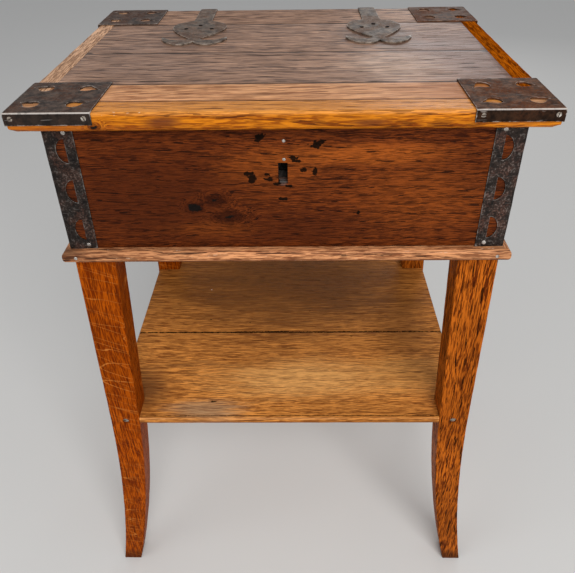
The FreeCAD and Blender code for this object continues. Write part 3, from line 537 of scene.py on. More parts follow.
class Oak(Paint):
    """Oak's paint with the fields that all its marks share, drawn out along the grain."""

    def __init__(self, name, grain, seed, ring_pitch, fine, knots):
        super().__init__(name)
        self.axis = "xyz".index(grain)
        self.seed = seed
        wander = self.noise(self.stretch(3.2, 9.0), detail=1.5, shift=seed)
        warp = (wander - 0.5) * (22 * MM)
        for centre, reach, height, _ in knots:
            near = self.blob(centre, self.stretch(reach * 2.6, height * 3.0))
            warp = warp + near.ramp(1.0, 0.0, 0.0, 9 * MM)
        sideways = self.node("CombineXYZ",
                             {i: warp for i in range(3) if i != self.axis})
        self.moved = self.node("VectorMath",
                               {0: self.coords, 1: sideways.outputs[0]},
                               operation="ADD").outputs[0]
        self.rings = self.growth_rings(ring_pitch)
        self.hair = self.lines(0.07 * fine, fine, 2.0, 2)
        self.streak = self.lines(0.028 * fine, 0.5 * fine, 3.0, 3)
        self.band = self.lines(4.0, 75.0, 4.0, 4)
        self.slits = self.lines(0.055 * fine, 0.8 * fine, 1.0, 7)
        self.patch = self.noise(self.stretch(7.0, 20.0), detail=4.0, shift=seed * 5)
        self.grit = self.noise(scale=330.0, shift=seed * 6)

    def stretch(self, along, across):
        """One value along the grain and another across it."""
        return [along if i == self.axis else across for i in range(3)]

    def lines(self, along, across, detail, shift):
        """Noise drawn out along the grain; along and across are per metre."""
        return self.noise(self.stretch(along, across), detail=detail, shift=self.seed * shift,
                          coords=self.moved)

    def growth_rings(self, pitch):
        """Bands that wander with the grain."""
        place = self.node("Mapping",
                          {"Vector": self.moved, "Scale": self.stretch(0.06, 1.0),
                           "Location": [self.seed * share for share in (0.37, 0.53, 0.71)]})
        return self.field("TexWave",
                          {"Vector": place.outputs[0], "Scale": math.pi / 10 / pitch,
                           "Distortion": 5.0, "Detail": 3.0, "Detail Scale": 0.7,
                           "Detail Roughness": 0.6}, "Fac",
                          wave_type="BANDS", bands_direction="DIAGONAL", wave_profile="SAW")

    def lay_grain(self, pale, deep, ring_force):
        """Lay the grain's two colours, and give the tone that mixes them."""
        tone = (self.hair.ramp(0.44, 0.56) * HAIR + self.streak.ramp(0.42, 0.58) * STREAK
                + self.band.ramp(0.34, 0.66) * BAND + self.rings * ring_force)
        tone = (tone * (1 / (HAIR + STREAK + BAND + ring_force))).ramp(0.15, 0.8)
        self.colour = (*deep, 1.0)
        self.lay(pale, tone)
        shaded = [0.275 * (a + b) for a, b in zip(pale, deep)]
        self.lay(shaded, self.patch.ramp(0.35, 0.65, 0.0, 0.35))
        return tone

    def lay_stains_and_light(self, stains_and_light, tone):
        """Ragged patches that follow the grain: staining, and where a list gives them, painted shade
        and painted highlights.
        """
        ragged = (self.streak - 0.5) * 1.1 + (self.patch - 0.5) * 1.3
        for centre, size, patch_colour, strength in stains_and_light:
            cover = (self.blob(centre, size) + ragged).ramp(1.15, 0.25, 0.0, strength)
            self.lay(patch_colour, cover * (tone * 0.45 + 0.6))

    def lay_rays(self, fleck):
        """Thin pale rays that lean across the grain."""
        marks = 0.0
        for tilt, pitch in ((-0.25, 60.0), (-0.4, 75.0)):
            lean = self.node("Mapping", {"Vector": self.coords,
                                                   "Rotation": self.stretch(0.0, tilt)})
            ray = self.noise(self.stretch(pitch, 8.0), detail=0.0, shift=self.seed * pitch,
                             coords=lean.outputs[0])
            marks = (ray - 0.5).math("ABSOLUTE").ramp(0.012, 0.004).highest(marks)
        self.lay(RAY, marks * self.patch.ramp(0.44, 0.6, 0.2, fleck))

    def lay_knots(self, knots, deep):
        """Dark rings round open holes; each hole's inside is painted shade."""
        for centre, reach, height, hole in knots:
            away = self.blob(centre, self.stretch(reach, height)) + (self.grit - 0.5) * 1.6
            self.lay([0.5 * c for c in deep], away.ramp(1.7, 0.7, 0.0, 0.75))
            self.lay(KNOT_HOLE_SHADE, away.ramp(hole + 0.08, hole - 0.06))

    def lay_chips(self, chips):
        """Dark bruises; gives their field."""
        bruise = 0.0
        for centre, size in chips:
            away = self.blob(centre, size) + (self.grit - 0.5) * 2.4
            bruise = away.ramp(1.05, 0.85).highest(bruise)
        self.lay(CHIP, bruise * 0.95)
        return bruise

    def lay_wear(self, worn, rub_above):
        """Pale wood where the arrises are rubbed."""
        rub = self.edge + (self.streak - 0.5) * 1.3 + (self.grit - 0.5) * 0.9
        if rub_above:
            rub = rub * self.places()[2].ramp(rub_above - 1 * MM, rub_above)
        self.lay(worn, rub.ramp(1.24, 1.36, 0.0, 0.55))

    def lay_drops(self, share):
        """Small round drops of paint in a share of the cells of a net."""
        cells = self.node("TexVoronoi", {"Vector": self.coords, "Scale": 55.0})
        pick = self.field("SeparateColor", {0: cells.outputs["Color"]})
        size = pick.ramp(1.0 - share, 1.0, 0.0, 0.055)
        self.lay(PAINT_DROP, (size - cells.outputs["Distance"]).ramp(0.0, 0.01))


def oak(name, pale, deep, pore, grain="x", seed=1.0, ring_pitch=7 * MM, ring_force=0.2,
        fine=860.0, pore_force=0.6, gloss=0.42, shine=0.25, stains_and_light=(), knots=(), chips=(),
        worn=None, rub_above=None, fleck=0.0, drops=0.0, seam=0.0):
    """Old oak.

    pale, deep, pore: colours of the grain and of its pores; fine: hairs of grain per metre
    stains: (centre, half-sizes, colour, strength) of staining, painted shade and painted highlights;
    chips: (centre, half-sizes) of dark bruises
    knots: (centre, half-length, half-height, part of it that is a hole)
    worn: colour of rubbed arrises, only above the height rub_above where it is given
    fleck, drops, seam: strength of rays, share of paint drops, darkness of a board's edges
    """
    wood = Oak(name, grain, seed, ring_pitch, fine, knots)
    tone = wood.lay_grain(pale, deep, ring_force)
    wood.lay_stains_and_light(stains_and_light, tone)
    if fleck:
        wood.lay_rays(fleck)
    pores = wood.slits.ramp(0.56, 0.59, 0.0, pore_force) * wood.rings.ramp(0.05, 0.6, 1.0, 0.35)
    wood.lay(pore, pores)
    wood.lay_knots(knots, deep)
    if chips:
        shine = wood.lay_chips(chips) * -shine + shine
    if worn:
        wood.lay_wear(worn, rub_above)
    if drops:
        wood.lay_drops(drops)
    if seam:
        wood.lay([0.6 * c for c in pore], wood.edge.ramp(0.8, 0.97, 0.0, seam))
    rough = pores * 0.25 + gloss + (wood.patch - 0.5) * 0.3
    height = pores * -0.9 + wood.hair * 0.5 + wood.streak * 0.5
    return wood.finish(rough, shine, height, bump=0.7, depth=1.1 * MM)


# ---- metal

# near black laid below a folded sheet's fold: painted shade on its flanges
FLANGE_SHADE = (0.006, 0.004, 0.003)


def iron(name, base, rust, bright, rust_force=0.4, bright_force=0.8, speck=0.0, seed=1.0,
         rough=0.5, metallic=0.5, bump=0.6, shine=0.4, fold=None):
    """Old sheet iron: mottled, rusty, with worn bright rims and scratches.

    fold: height of a folded sheet's top, rubbed bright at its fold, with painted shade on the
    flanges below it."""
    metal = Paint(name)
    mottle = metal.noise(scale=150.0, detail=5.0, rough=0.7, shift=seed)
    broad = metal.noise(scale=42.0, detail=4.0, rough=0.6, shift=seed * 3)
    grit = metal.noise(scale=520.0, shift=seed * 5)
    lines = metal.noise((60.0, 900.0, 900.0), detail=1.0, shift=seed * 7, distort=0.6)
    metal.colour = [c * 0.3 for c in base] + [1.0]
    metal.lay([c * 1.7 for c in base], mottle.ramp(0.34, 0.68))
    rusty = broad.ramp(0.45, 0.6) * grit.ramp(0.36, 0.6)
    shiny = (metal.edge + (mottle - 0.5) * 1.1).ramp(0.8, 1.1, 0.0, bright_force)
    shiny = shiny.highest(lines.ramp(0.7, 0.76, 0.0, 0.35))
    if fold:
        x, y, level = metal.places()
        # painted shade on the flanges below the fold, with less rust laid there
        under = level.ramp(fold - 1.3 * MM, fold - 1.8 * MM)
        metal.lay(FLANGE_SHADE, under * 0.8)
        rusty = rusty * (under * -0.8 + 1.0)
        past_x, past_y = [place.math("ABSOLUTE") - reach for place, reach in zip((x, y), cad_box[1])]
        rim = past_x.highest(past_y).ramp(-6 * MM, -5 * MM)
        line = level.ramp(fold - 1.9 * MM, fold - 1.5 * MM)
        line = line * level.ramp(fold - 0.35 * MM, fold - 0.7 * MM)
        shiny = shiny.highest(line * mottle.ramp(0.3, 0.5, 0.35, 0.9) * rim)
    if speck:
        dots = grit.ramp(0.54, 0.62) * mottle.ramp(0.4, 0.58)
        shiny = shiny.highest(dots * speck)
    metal.lay(rust, rusty * rust_force)
    metal.lay(bright, shiny)
    bare = (rusty * -0.5).math("ADD", metallic, clamp=True)
    return metal.finish(shiny * -0.15 + rough + rusty * 0.25, shine, grit * 0.35 + mottle, bump,
                        depth=0.6 * MM, metallic=bare)


# ---- lid wood

lid_low, lid_top = [corner.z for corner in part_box("lid_panel_front_board")]
GREY_OAK = dict(pale=(0.54, 0.30, 0.185), deep=(0.118, 0.054, 0.029),
                pore=(0.015, 0.006, 0.004), fine=560.0, pore_force=0.8)
HONEY_OAK = dict(pale=(0.66, 0.205, 0.007), deep=(0.20, 0.036, 0.001), pore=(0.05, 0.009, 0.002))
DARK = (0.012, 0.008, 0.007)
FAR = 2.0                           # half-size of a stain that reaches past the table
panel_stains_and_shadow = [((0.225, -0.02, lid_top), (0.135, 0.20, 0.1), (0.135, 0.036, 0.005), 0.97),
                ((-0.15, -0.03, lid_top), (0.09, 0.12, 0.1), (0.17, 0.095, 0.066), 0.4),
                ((0.11, -0.07, lid_top), (0.06, 0.06, 0.1), (0.60, 0.38, 0.25), 0.5)]
for side in SIDES:
    hinge_x = 0.5 * sum(corner.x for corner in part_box(f"hinge_strap_{side}"))
    # dark halo round each hinge: part stain, part painted shadow of the hinge
    panel_stains_and_shadow.append(((hinge_x, 0.06, lid_top), mm(52, 62, 9), (0.05, 0.026, 0.017), 0.75))
panel_oak = oak("panel_oak", **GREY_OAK, seed=2.0, gloss=0.4, shine=0.25, seam=0.85,
                stains_and_light=panel_stains_and_shadow)
back_oak = oak("back_oak", **GREY_OAK, seed=5.0, gloss=0.45, shine=0.12, seam=0.85)
front_oak = oak("front_oak", pale=(0.86, 0.42, 0.19), deep=(0.36, 0.135, 0.048),
                pore=(0.06, 0.022, 0.010), seed=3.0, gloss=0.42, shine=0.12, seam=0.85, fine=560.0,
                stains_and_light=[((0.21, -0.15, lid_top), (0.15, 0.06, 0.1), (0.36, 0.11, 0.014), 0.95)])
nosing_y, nosing_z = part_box("lid_front_nosing")[0].y, lid_low + 9 * MM
NOSING_STAINS = [((-0.105, nosing_y, nosing_z), mm(20, 9, 6), (0.13, 0.032, 0.010), 0.9),
                 ((0.075, nosing_y, nosing_z - 2 * MM), mm(22, 9, 5), (0.13, 0.032, 0.008), 0.9),
                 ((0.20, nosing_y, nosing_z), mm(35, 30, 5), (0.36, 0.11, 0.02), 0.6),
                 ((-0.2, nosing_y, lid_low), mm(120, 9, 13), (0.36, 0.085, 0.008), 0.7),
                 ((0, nosing_y + 12 * MM, lid_top + 1 * MM), (FAR, 0.2, 5 * MM),
                  (0.80, 0.33, 0.07), 0.75)]
NOSING_STAINS += [((sign * 0.24, nosing_y + 16 * MM, lid_top), mm(50, 30, 4),
                   (0.56, 0.30, 0.16), 0.85) for sign in SIDES.values()]
nosing_oak = oak("nosing_oak", **HONEY_OAK, seed=4.0, ring_pitch=6 * MM, ring_force=0.7,
                 pore_force=0.7, gloss=0.33, shine=0.09, worn=(0.80, 0.62, 0.45),
                 stains_and_light=NOSING_STAINS, rub_above=lid_top - 6 * MM,
                 knots=[((-0.163, nosing_y, lid_low + 5 * MM), 5 * MM, 3 * MM, 0.5)])
edging_oak = {
    "left": oak("left_edging_oak", pale=(0.86, 0.50, 0.29), deep=(0.30, 0.14, 0.065),
                pore=(0.08, 0.03, 0.015), grain="y", seed=6.0, worn=(0.62, 0.42, 0.28),
                shine=0.1, fine=900.0),
    "right": oak("right_edging_oak", pale=(0.50, 0.115, 0.003), deep=(0.14, 0.025, 0.001),
                 pore=(0.05, 0.012, 0.002), grain="y", seed=7.0, worn=(0.5, 0.2, 0.05),
                 shine=0.0, fine=800.0),
}

MORTISE_PLAY, MORTISE_DEPTH = mm(1, 10)
bolt_low, bolt_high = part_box("lock_bolt")
strike_low, strike_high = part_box("lock_strike_plate")
ROOM = Vector((MORTISE_PLAY, MORTISE_PLAY, 0))
mortise = block("mortise", Vector((bolt_low.x, bolt_low.y, lid_low - 5 * MM)) - ROOM,
                Vector((bolt_high.x, bolt_high.y, lid_low + MORTISE_DEPTH)) + ROOM)
strike_bed = block("strike_bed", (strike_low.x, strike_low.y, lid_low - 5 * MM), strike_high)
for label, material, seed, holes in (("lid_front_board", front_oak, 1.0, [mortise, strike_bed]),
                                     ("lid_panel_front_board", panel_oak, 2.0, ()),
                                     ("lid_panel_back_board", panel_oak, 3.0, ()),
                                     ("lid_back_board", back_oak, 4.0, ())):
    plank(label, LID, material, seed, ease=0.5 * MM, wobble=0.12 * MM, holes=holes)

LOWER_ROUND, ARRIS_ROUND = mm(6, 3)
low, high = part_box("lid_front_nosing")


def round_nosing_end(point, low=low.copy(), high=high.copy()):
    """Round the nosing's lower corners at its two ends like the side edging."""
    run = min(point.x - low.x, high.x - point.x)
    if run < LOWER_ROUND:
        rise = LOWER_ROUND - math.sqrt(max(0.0, LOWER_ROUND ** 2 - (LOWER_ROUND - run) ** 2))
        point.z = max(point.z, low.z + rise)
    return point


nosing = board("lid_nosing_wood", low, high, "x",
               (LOWER_ROUND, 0.5 * MM, 0.5 * MM, ARRIS_ROUND), step=6 * MM, seed=5.0,
               wobble=0.25 * MM, worn=0.5 * MM, reshape=round_nosing_end)
dress(nosing, nosing_oak, LID, "lid_front_nosing")
for side, sign in SIDES.items():
    low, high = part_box(f"lid_{side}_edging")
    radii = (LOWER_ROUND, 0.5 * MM, 0.5 * MM, ARRIS_ROUND)
    if sign > 0:
        radii = (0.5 * MM, LOWER_ROUND, ARRIS_ROUND, 0.5 * MM)
    strip = board(f"lid_{side}_edging_wood", low, high, "y", radii, step=6 * MM,
                  seed=6.0 + sign, worn=0.45 * MM)
    dress(strip, edging_oak[side], LID, f"lid_{side}_edging")


# ---- corner plates

plate_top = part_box("corner_plate_front_left")[1].z
plate_iron = {
    "left": iron("left_plate_iron", (0.062, 0.039, 0.028), (0.11, 0.040, 0.020),
                 (0.48, 0.43, 0.39), rust_force=0.5, seed=1.0, bright_force=0.6, shine=0.15,
                 metallic=0.1, fold=plate_top),
    "right": iron("right_plate_iron", (0.084, 0.036, 0.017), (0.125, 0.038, 0.014),
                  (0.48, 0.43, 0.39), rust_force=0.7, seed=1.5, bright_force=0.6, shine=0.04,
                  metallic=0.0, fold=plate_top),
}
FOLD, IRON, PLATE_TRIM = mm(1.6, 1.5, 2)
LIP, LIP_OFF, LIP_WIDE = mm(0.6, 9, 2)              # raised ring round each piercing
DIMPLE, DIMPLE_WIDE, DIMPLE_DEEP = mm(0.5, 6, 3)    # dent in the plate's middle
LEAF_OFF = mm(18.5, 21.5)
LEAF_BODY = mm(6.3, 7.8)
LEAF_TAIL = [(7.5, 2.2), (10, -0.2), (13.4, -2.6), (9.5, -3.6), (6.4, -4.6)]


def leaf_hole(centre, across, forth, turn):
    """Piercing with a round body and a curled tail that points outwards."""
    points = []
    for i in range(15):
        angle = math.radians(40 + 280 * i / 14)
        points.append((LEAF_BODY[0] * math.cos(angle), LEAF_BODY[1] * math.sin(angle)))
    points += [(x * MM, y * MM) for x, y in reversed(LEAF_TAIL)]
    spun = [Matrix.Rotation(turn, 2) @ Vector(p) for p in points]
    return [(centre[0] + across * p.x, centre[1] + forth * p.y) for p in spun]


def corner_piece(kind, side, end_name):
    """Label, signs, size and outer bottom corner of a piece at one of the four corners."""
    sign, end = SIDES[side], ENDS[end_name]
    label = f"{kind}_{end_name}_{side}"
    low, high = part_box(label)
    outer = Vector((high.x if sign > 0 else low.x, high.y if end > 0 else low.y, low.z))
    return label, sign, end, high - low, outer


def corner_plate(side, end_name):
    """Plate folded down on its two outer sides, with four piercings and a small dent."""
    label, sign, end, (width, depth, drop), outer = corner_piece("corner_plate", side, end_name)
    fold_u, fold_v = width - FOLD, depth - FOLD
    bend = FOLD * math.pi / 2
    flange = drop - FOLD
    reach_u, reach_v = fold_u + bend + flange, fold_v + bend + flange
    rim = [(0, 0), (reach_u - PLATE_TRIM, 0), (reach_u, PLATE_TRIM), (reach_u, fold_v + 0.5 * bend),
           (fold_u + bend, fold_v + bend), (fold_u + 0.5 * bend, reach_v), (0, reach_v)]

    holes, spots = [], []
    for number, (across, forth) in enumerate(((-1, -1), (-1, 1), (1, -1), (1, 1))):
        spot = Vector((0.5 * width + across * LEAF_OFF[0], 0.5 * depth + forth * LEAF_OFF[1]))
        turn = 0.5 * math.sin(2.3 * number + sign + 2 * end)
        holes.append(leaf_hole(spot, across, forth, turn))
        spots.append(spot)

    def surface(u, v):
        run_u, drop_u, out_u, up_u, crease_u = folded(fold_u, FOLD, u)
        run_v, drop_v, out_v, up_v, crease_v = folded(fold_v, FOLD, v)
        point = Vector((outer.x - sign * (width - run_u), outer.y - end * (depth - run_v),
                        plate_top - drop_u - drop_v))
        normal = Vector((sign * out_u, end * out_v, up_u * up_v)).normalized()
        here = Vector((u, v))
        dent = here - Vector((0.5 * width, 0.5 * depth))
        point.z -= DIMPLE * math.exp(-(dent.x / DIMPLE_WIDE) ** 2 - (dent.y / DIMPLE_DEEP) ** 2)
        if drop_u == 0 and drop_v == 0:
            nearest = min((here - spot).length for spot in spots)
            point.z += LIP * math.exp(-((nearest - LIP_OFF) / LIP_WIDE) ** 2)
        return point, normal, max(crease_u, crease_v)

    piece = sheet_metal(label + "_sheet", [rim] + holes, surface, IRON - 0.1 * MM, step=3 * MM,
                        dent=0.2 * MM, seed=3.0 * sign + end, folds=([fold_u], [fold_v]))
    return dress(piece, plate_iron[side], LID, label)


for side, end_name in CORNERS:
    corner_plate(side, end_name)


# ---- strap hinges

hinge_iron = iron("hinge_iron", (0.13, 0.093, 0.068), (0.15, 0.065, 0.034), (0.42, 0.37, 0.32),
                  rust_force=0.6, rough=0.5, seed=2.0, bright_force=0.85, metallic=0.25,
                  shine=0.25, bump=1.0)
# half of the strap's outline in millimetres: X from its middle, and Y
STRAP_BULB = [(11, 126), (14, 122.6), (19, 120), (24, 116), (28, 111), (30.7, 106), (32, 100),
              (32.9, 94), (32.5, 89), (31.5, 83), (29.5, 77), (26.8, 70), (23, 63), (19.5, 56.5),
              (15.5, 50.5), (12, 45.5), (9, 41), (7, 38.5), (6.5, 36)]
STRAP_CROOK = [(10.5, 31.8), (16, 30), (22.5, 30.6), (28, 34), (33, 38.8)]
STRAP_HORN = [(37.5, 43), (38, 37.5), (36, 32), (33, 25.5), (28, 19), (22.5, 14.4), (17, 12),
              (11, 13), (6, 16), (2.5, 19.5)]
STRAP_CLEFT = 25
STRAP, KNUCKLE, KNUCKLE_GAP, PIN_HOLE = mm(2, 3.5, 4.5, 1.55)


def tube(work, centre, start, end, outer, inner, segments=28):
    """Add a short hollow barrel along X, with eased ends, to a bmesh."""
    ease = 0.4 * MM
    profile = [(inner, start + ease), (inner + ease, start), (outer - ease, start),
               (outer, start + ease), (outer, end - ease), (outer - ease, end),
               (inner + ease, end), (inner, end - ease)]
    rings = []
    for radius, x in profile:
        rings.append([work.verts.new((x, centre.y + radius * math.cos(2 * math.pi * i / segments),
                                      centre.z + radius * math.sin(2 * math.pi * i / segments)))
                      for i in range(segments)])
    for first, second in zip(rings, rings[1:] + rings[:1]):
        for i in range(segments):
            j = (i + 1) % segments
            work.faces.new((first[i], first[j], second[j], second[i]))


def strap(side):
    """Strap with a bulb and two crescent horns, folded down to its two knuckles."""
    label = f"hinge_strap_{side}"
    low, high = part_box(label)
    middle = 0.5 * (low.x + high.x)
    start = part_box("lid_back_board")[1].y
    back = start + STRAP
    axis = sum(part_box(f"hinge_pin_{side}"), Vector()) / 2
    reach = start + STRAP * math.pi / 2 + high.z - STRAP - axis.z
    end = STRAP_BULB[0][0] * MM
    right = [(x * MM, y * MM) for x, y in STRAP_BULB + STRAP_CROOK + STRAP_HORN]
    left = [(-x, y) for x, y in reversed(right)]
    outline = [(end, reach), *right, (0, STRAP_CLEFT * MM), *left, (-end, reach)]

    def surface(u, v):
        run, drop, out, up, crease = folded(start, STRAP, v)
        return Vector((middle + u, run, high.z - drop)), Vector((0, out, up)), 0.9 * crease

    piece = sheet_metal(label + "_sheet", [outline], surface, STRAP - 0.1 * MM, step=3 * MM,
                        dent=0.25 * MM, rim_round=0.45 * MM, seed=11.0 + SIDES[side],
                        folds=((), [start]))
    work = bmesh.new()
    work.from_mesh(piece.data)
    for left_end, right_end in ((-end, -KNUCKLE_GAP), (KNUCKLE_GAP, end)):
        tube(work, axis, middle + left_end, middle + right_end, KNUCKLE, PIN_HOLE)
    work.to_mesh(piece.data)
    work.free()
    notch = block("notch", (middle - KNUCKLE_GAP, back - 6 * MM, axis.z - 6 * MM),
                  (middle + KNUCKLE_GAP, back + 6 * MM, axis.z + KNUCKLE + 0.3 * MM))
    return dress(carve(piece, [notch], SHEET_SHARP), hinge_iron, LID, label)


for side in SIDES:
    strap(side)


# ---- box

BOX_OAK = dict(pale=(0.19, 0.040, 0.0062), deep=(0.041, 0.0074, 0.0018),
               pore=(0.010, 0.0028, 0.0014))
front_low, front_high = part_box("box_front_board")
keyhole_middle = 0.5 * (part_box("lock_case")[0].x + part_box("lock_case")[1].x)
KEYHOLE_Z, KEYHOLE_HIGH, KEYHOLE_WIDE = 648.8 * MM, 21.5 * MM, 9 * MM
ORANGE = (0.33, 0.078, 0.010)
face_y = front_low.y


def on_front(x, z, wide, high):
    """Place and half-sizes, from millimetres, of a mark on the box's front."""
    return (x * MM, face_y, z * MM), (wide * MM, 20 * MM, high * MM)


SHADOWED = (0.056, 0.0105, 0.0022)
# the SHADOWED patches are painted shade on the box's front
FRONT_STAINS_AND_SHADE = [(*on_front(-130, 620, 140, 90), SHADOWED, 0.8),
                (*on_front(10, 590, 110, 30), SHADOWED, 0.7),
                (*on_front(-12, 655, 60, 26), ORANGE, 0.35),
                (*on_front(75, 667, 110, 13), ORANGE, 0.8),
                (*on_front(130, 625, 80, 50), ORANGE, 0.3),
                (*on_front(-70, 590, 60, 12), ORANGE, 0.25),
                ((keyhole_middle, face_y + 6 * MM, KEYHOLE_Z - 0.5 * KEYHOLE_HIGH),
                 mm(7, 9, 2.5), (0.16, 0.15, 0.14), 1.0),
                # wood seen through the corner angles' piercings darkened: part dirt, part painted
                # shade
                (*on_front(-222, 630, 22, 90), DARK, 0.85),
                (*on_front(222, 630, 22, 90), DARK, 0.85)]
FRONT_CHIPS = [on_front(*spot) for spot in (
    (-20.7, 685.2, 5, 3), (-24, 681, 3, 1.5), (30.4, 677.3, 6, 4.2), (35, 680, 3, 2),
    (-30.3, 644.2, 4, 6), (-33, 649, 5, 2.5), (28.8, 651.1, 2.5, 5), (9, 663.9, 4.5, 2.4),
    (12, 661, 4, 1.6), (-1, 622, 5, 2), (18, 652, 3, 2), (-14, 643, 6, 2.2), (72, 607, 1.8, 2.6),
    (-8, 638, 4, 1.8), (4, 636, 4, 1.5), (-16, 648, 3, 2))]
FRONT_KNOTS = [((-87.4 * MM, face_y, 613.1 * MM), 7.5 * MM, 4.2 * MM, 0.9),
               ((-67 * MM, face_y, 621.5 * MM), 9 * MM, 5 * MM, 0.25),
               ((-55 * MM, face_y, 603 * MM), 13 * MM, 6 * MM, 0.22)]
box_front_oak = oak("box_front_oak", **BOX_OAK, seed=8.0, pore_force=0.9, fine=1250.0,
                    gloss=0.4, shine=0.05, stains_and_light=FRONT_STAINS_AND_SHADE, chips=FRONT_CHIPS,
                    knots=FRONT_KNOTS, ring_pitch=5 * MM)
box_oak = {axis: oak(f"box_{axis}_oak", **BOX_OAK, grain=axis, seed=9.0, pore_force=0.8,
                     shine=0.05, seam=0.85) for axis in "xy"}


keyhole = block("keyhole", (keyhole_middle - KEYHOLE_WIDE / 2, face_y - 5 * MM,
                            KEYHOLE_Z - KEYHOLE_HIGH / 2),
                (keyhole_middle + KEYHOLE_WIDE / 2, front_high.y + 5 * MM,
                 KEYHOLE_Z + KEYHOLE_HIGH / 2))
plank("box_front_board", TABLE, box_front_oak, 20.0, holes=[keyhole])
for label, axis, seed in (("back", "x", 21.0), ("left", "y", 22.0), ("right", "y", 23.0),
                          ("bottom", "x", 24.0)):
    plank(f"box_{label}_board", TABLE, box_oak[axis], seed, axis)


# ---- base moulding

RAIL_ROUND = 5.5 * MM
RAIL_OAK = dict(pale=(0.66, 0.29, 0.125), deep=(0.19, 0.060, 0.022), pore=(0.025, 0.009, 0.005))
rail_low, rail_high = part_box("base_moulding_front")
# the first entry darkens the moulding all along its bottom: painted shade under its round nose
RAIL_MARKS_AND_SHADE = [((0, rail_low.y, rail_low.z), (FAR, FAR, 4.5 * MM), (0.14, 0.042, 0.016), 0.75),
              ((rail_low.x, rail_low.y, rail_high.z), mm(45, 12, 9), DARK, 0.75),
              ((rail_low.x + 70 * MM, rail_low.y, rail_low.z), mm(25, 9, 5), DARK, 0.6),
              ((90 * MM, rail_low.y, rail_low.z), mm(9, 9, 3), DARK, 0.6)]
rail_oak = {axis: oak(f"rail_{axis}_oak", **RAIL_OAK, grain=axis, seed=12.0, pore_force=0.8,
                      stains_and_light=RAIL_MARKS_AND_SHADE, worn=(0.62, 0.42, 0.30), shine=0.08,
                      drops=0.1) for axis in "xy"}


def base_moulding(label, axis, outward):
    """Mitred rail with a round nose on its outer side, which faces along outward."""
    low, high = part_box(label)
    along = "xyz".index(axis)
    across = 1 - along
    nose = high[across] if outward > 0 else low[across]
    centre = 0.5 * (low[along] + high[along])
    half = high[along] - centre

    def mitre(point):
        point[along] = centre + (point[along] - centre) * (1 - abs(point[across] - nose) / half)
        return point

    radii = [0.5 * MM] * 4
    for corner in ((1, 2) if outward > 0 else (0, 3)):
        radii[corner] = RAIL_ROUND
    piece = board(label + "_wood", low, high, axis, radii, seed=25.0 + outward + along,
                  end_round=0.3 * MM, step=7 * MM, worn=0.4 * MM, reshape=mitre)
    return dress(piece, rail_oak[axis], TABLE, label)


base_moulding("base_moulding_front", "x", -1)
base_moulding("base_moulding_back", "x", 1)
base_moulding("base_moulding_left", "y", -1)
base_moulding("base_moulding_right", "y", 1)


# ---- corner angles

angle_iron = {
    "left": iron("left_angle_iron", (0.013, 0.009, 0.007), (0.065, 0.024, 0.013),
                 (0.20, 0.18, 0.165), rust_force=0.5, speck=0.22, bright_force=0.75, seed=3.0,
                 bump=0.9, metallic=0.3, shine=0.18),
    "right": iron("right_angle_iron", (0.019, 0.012, 0.009), (0.10, 0.034, 0.018),
                  (0.25, 0.225, 0.205), rust_force=0.55, speck=0.3, bright_force=0.9, seed=3.5,
                  bump=0.9, metallic=0.35, shine=0.25),
}
MOON_INSET, MOON_WIDE, MOON_HALF = 9.5 * MM, 9 * MM, 12 * MM
MOON_HEIGHTS = [105 * MM, 64 * MM, 22 * MM]


def moon_hole(straight, direction, height):
    """Half-moon piercing: a straight side and a bulge in the given direction."""
    points = []
    for i in range(15):
        angle = math.pi * i / 14 - math.pi / 2
        points.append((straight + direction * MOON_WIDE * math.cos(angle),
                       height + MOON_HALF * math.sin(angle)))
    return points


def corner_angle(side, end_name):
    """Upright angle with three half-moon piercings in each of its two faces."""
    label, sign, end, (width, _, tall), outer = corner_piece("corner_angle", side, end_name)
    start = width - FOLD
    reach = 2 * start + FOLD * math.pi / 2
    holes = []
    for height in MOON_HEIGHTS:
        holes.append(moon_hole(MOON_INSET, 1, height))
        holes.append(moon_hole(reach - MOON_INSET, -1, height))

    def surface(u, v):
        run, drop, out, up, crease = folded(start, FOLD, u)
        point = Vector((outer.x - sign * (width - run), outer.y - end * drop, outer.z + v))
        return point, Vector((sign * out, end * up, 0)), crease

    rim = [(0, 0), (reach, 0), (reach, tall), (0, tall)]
    piece = sheet_metal(label + "_sheet", [rim] + holes, surface, IRON - 0.1 * MM, step=3.5 * MM,
                        dent=0.3 * MM, dent_size=0.009, rim_round=0.4 * MM, seed=5.0 * sign + end,
                        folds=([start], ()))
    return dress(piece, angle_iron[side], TABLE, label)


for side, end_name in CORNERS:
    corner_angle(side, end_name)


# ---- legs

LEG_TOP_INNER, LEG_TOP_OUTER = 177 * MM, 218.5 * MM
LEG_KNEE_INNER, LEG_KNEE_OUTER, LEG_KNEE = 188.3 * MM, 224.6 * MM, 314 * MM
FOOT_INNER, FOOT_OUTER = 233 * MM, 258.5 * MM
FOOT_DEPTH = 29 * MM
leg_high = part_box("leg_front_left")[1].z
leg_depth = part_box("leg_front_left")[1].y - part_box("leg_front_left")[0].y
shelf_low, shelf_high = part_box("shelf_front_board")


def sabre(top, knee, foot):
    """Distance from the middle plane at a height: straight to the knee, then an arc."""
    lean = Vector((knee - top, LEG_KNEE - leg_high)).normalized()
    inward = Vector((-lean.y, lean.x))
    chord = Vector((foot - knee, -LEG_KNEE))
    radius = chord.length_squared / (2 * inward.dot(chord))
    centre = Vector((knee, LEG_KNEE)) + inward * radius

    def at(height):
        if height >= LEG_KNEE:
            return top + (knee - top) * (leg_high - height) / (leg_high - LEG_KNEE)
        reach = math.sqrt(max(0.0, radius ** 2 - (height - centre.y) ** 2))
        return centre.x - math.copysign(reach, radius)
    return at


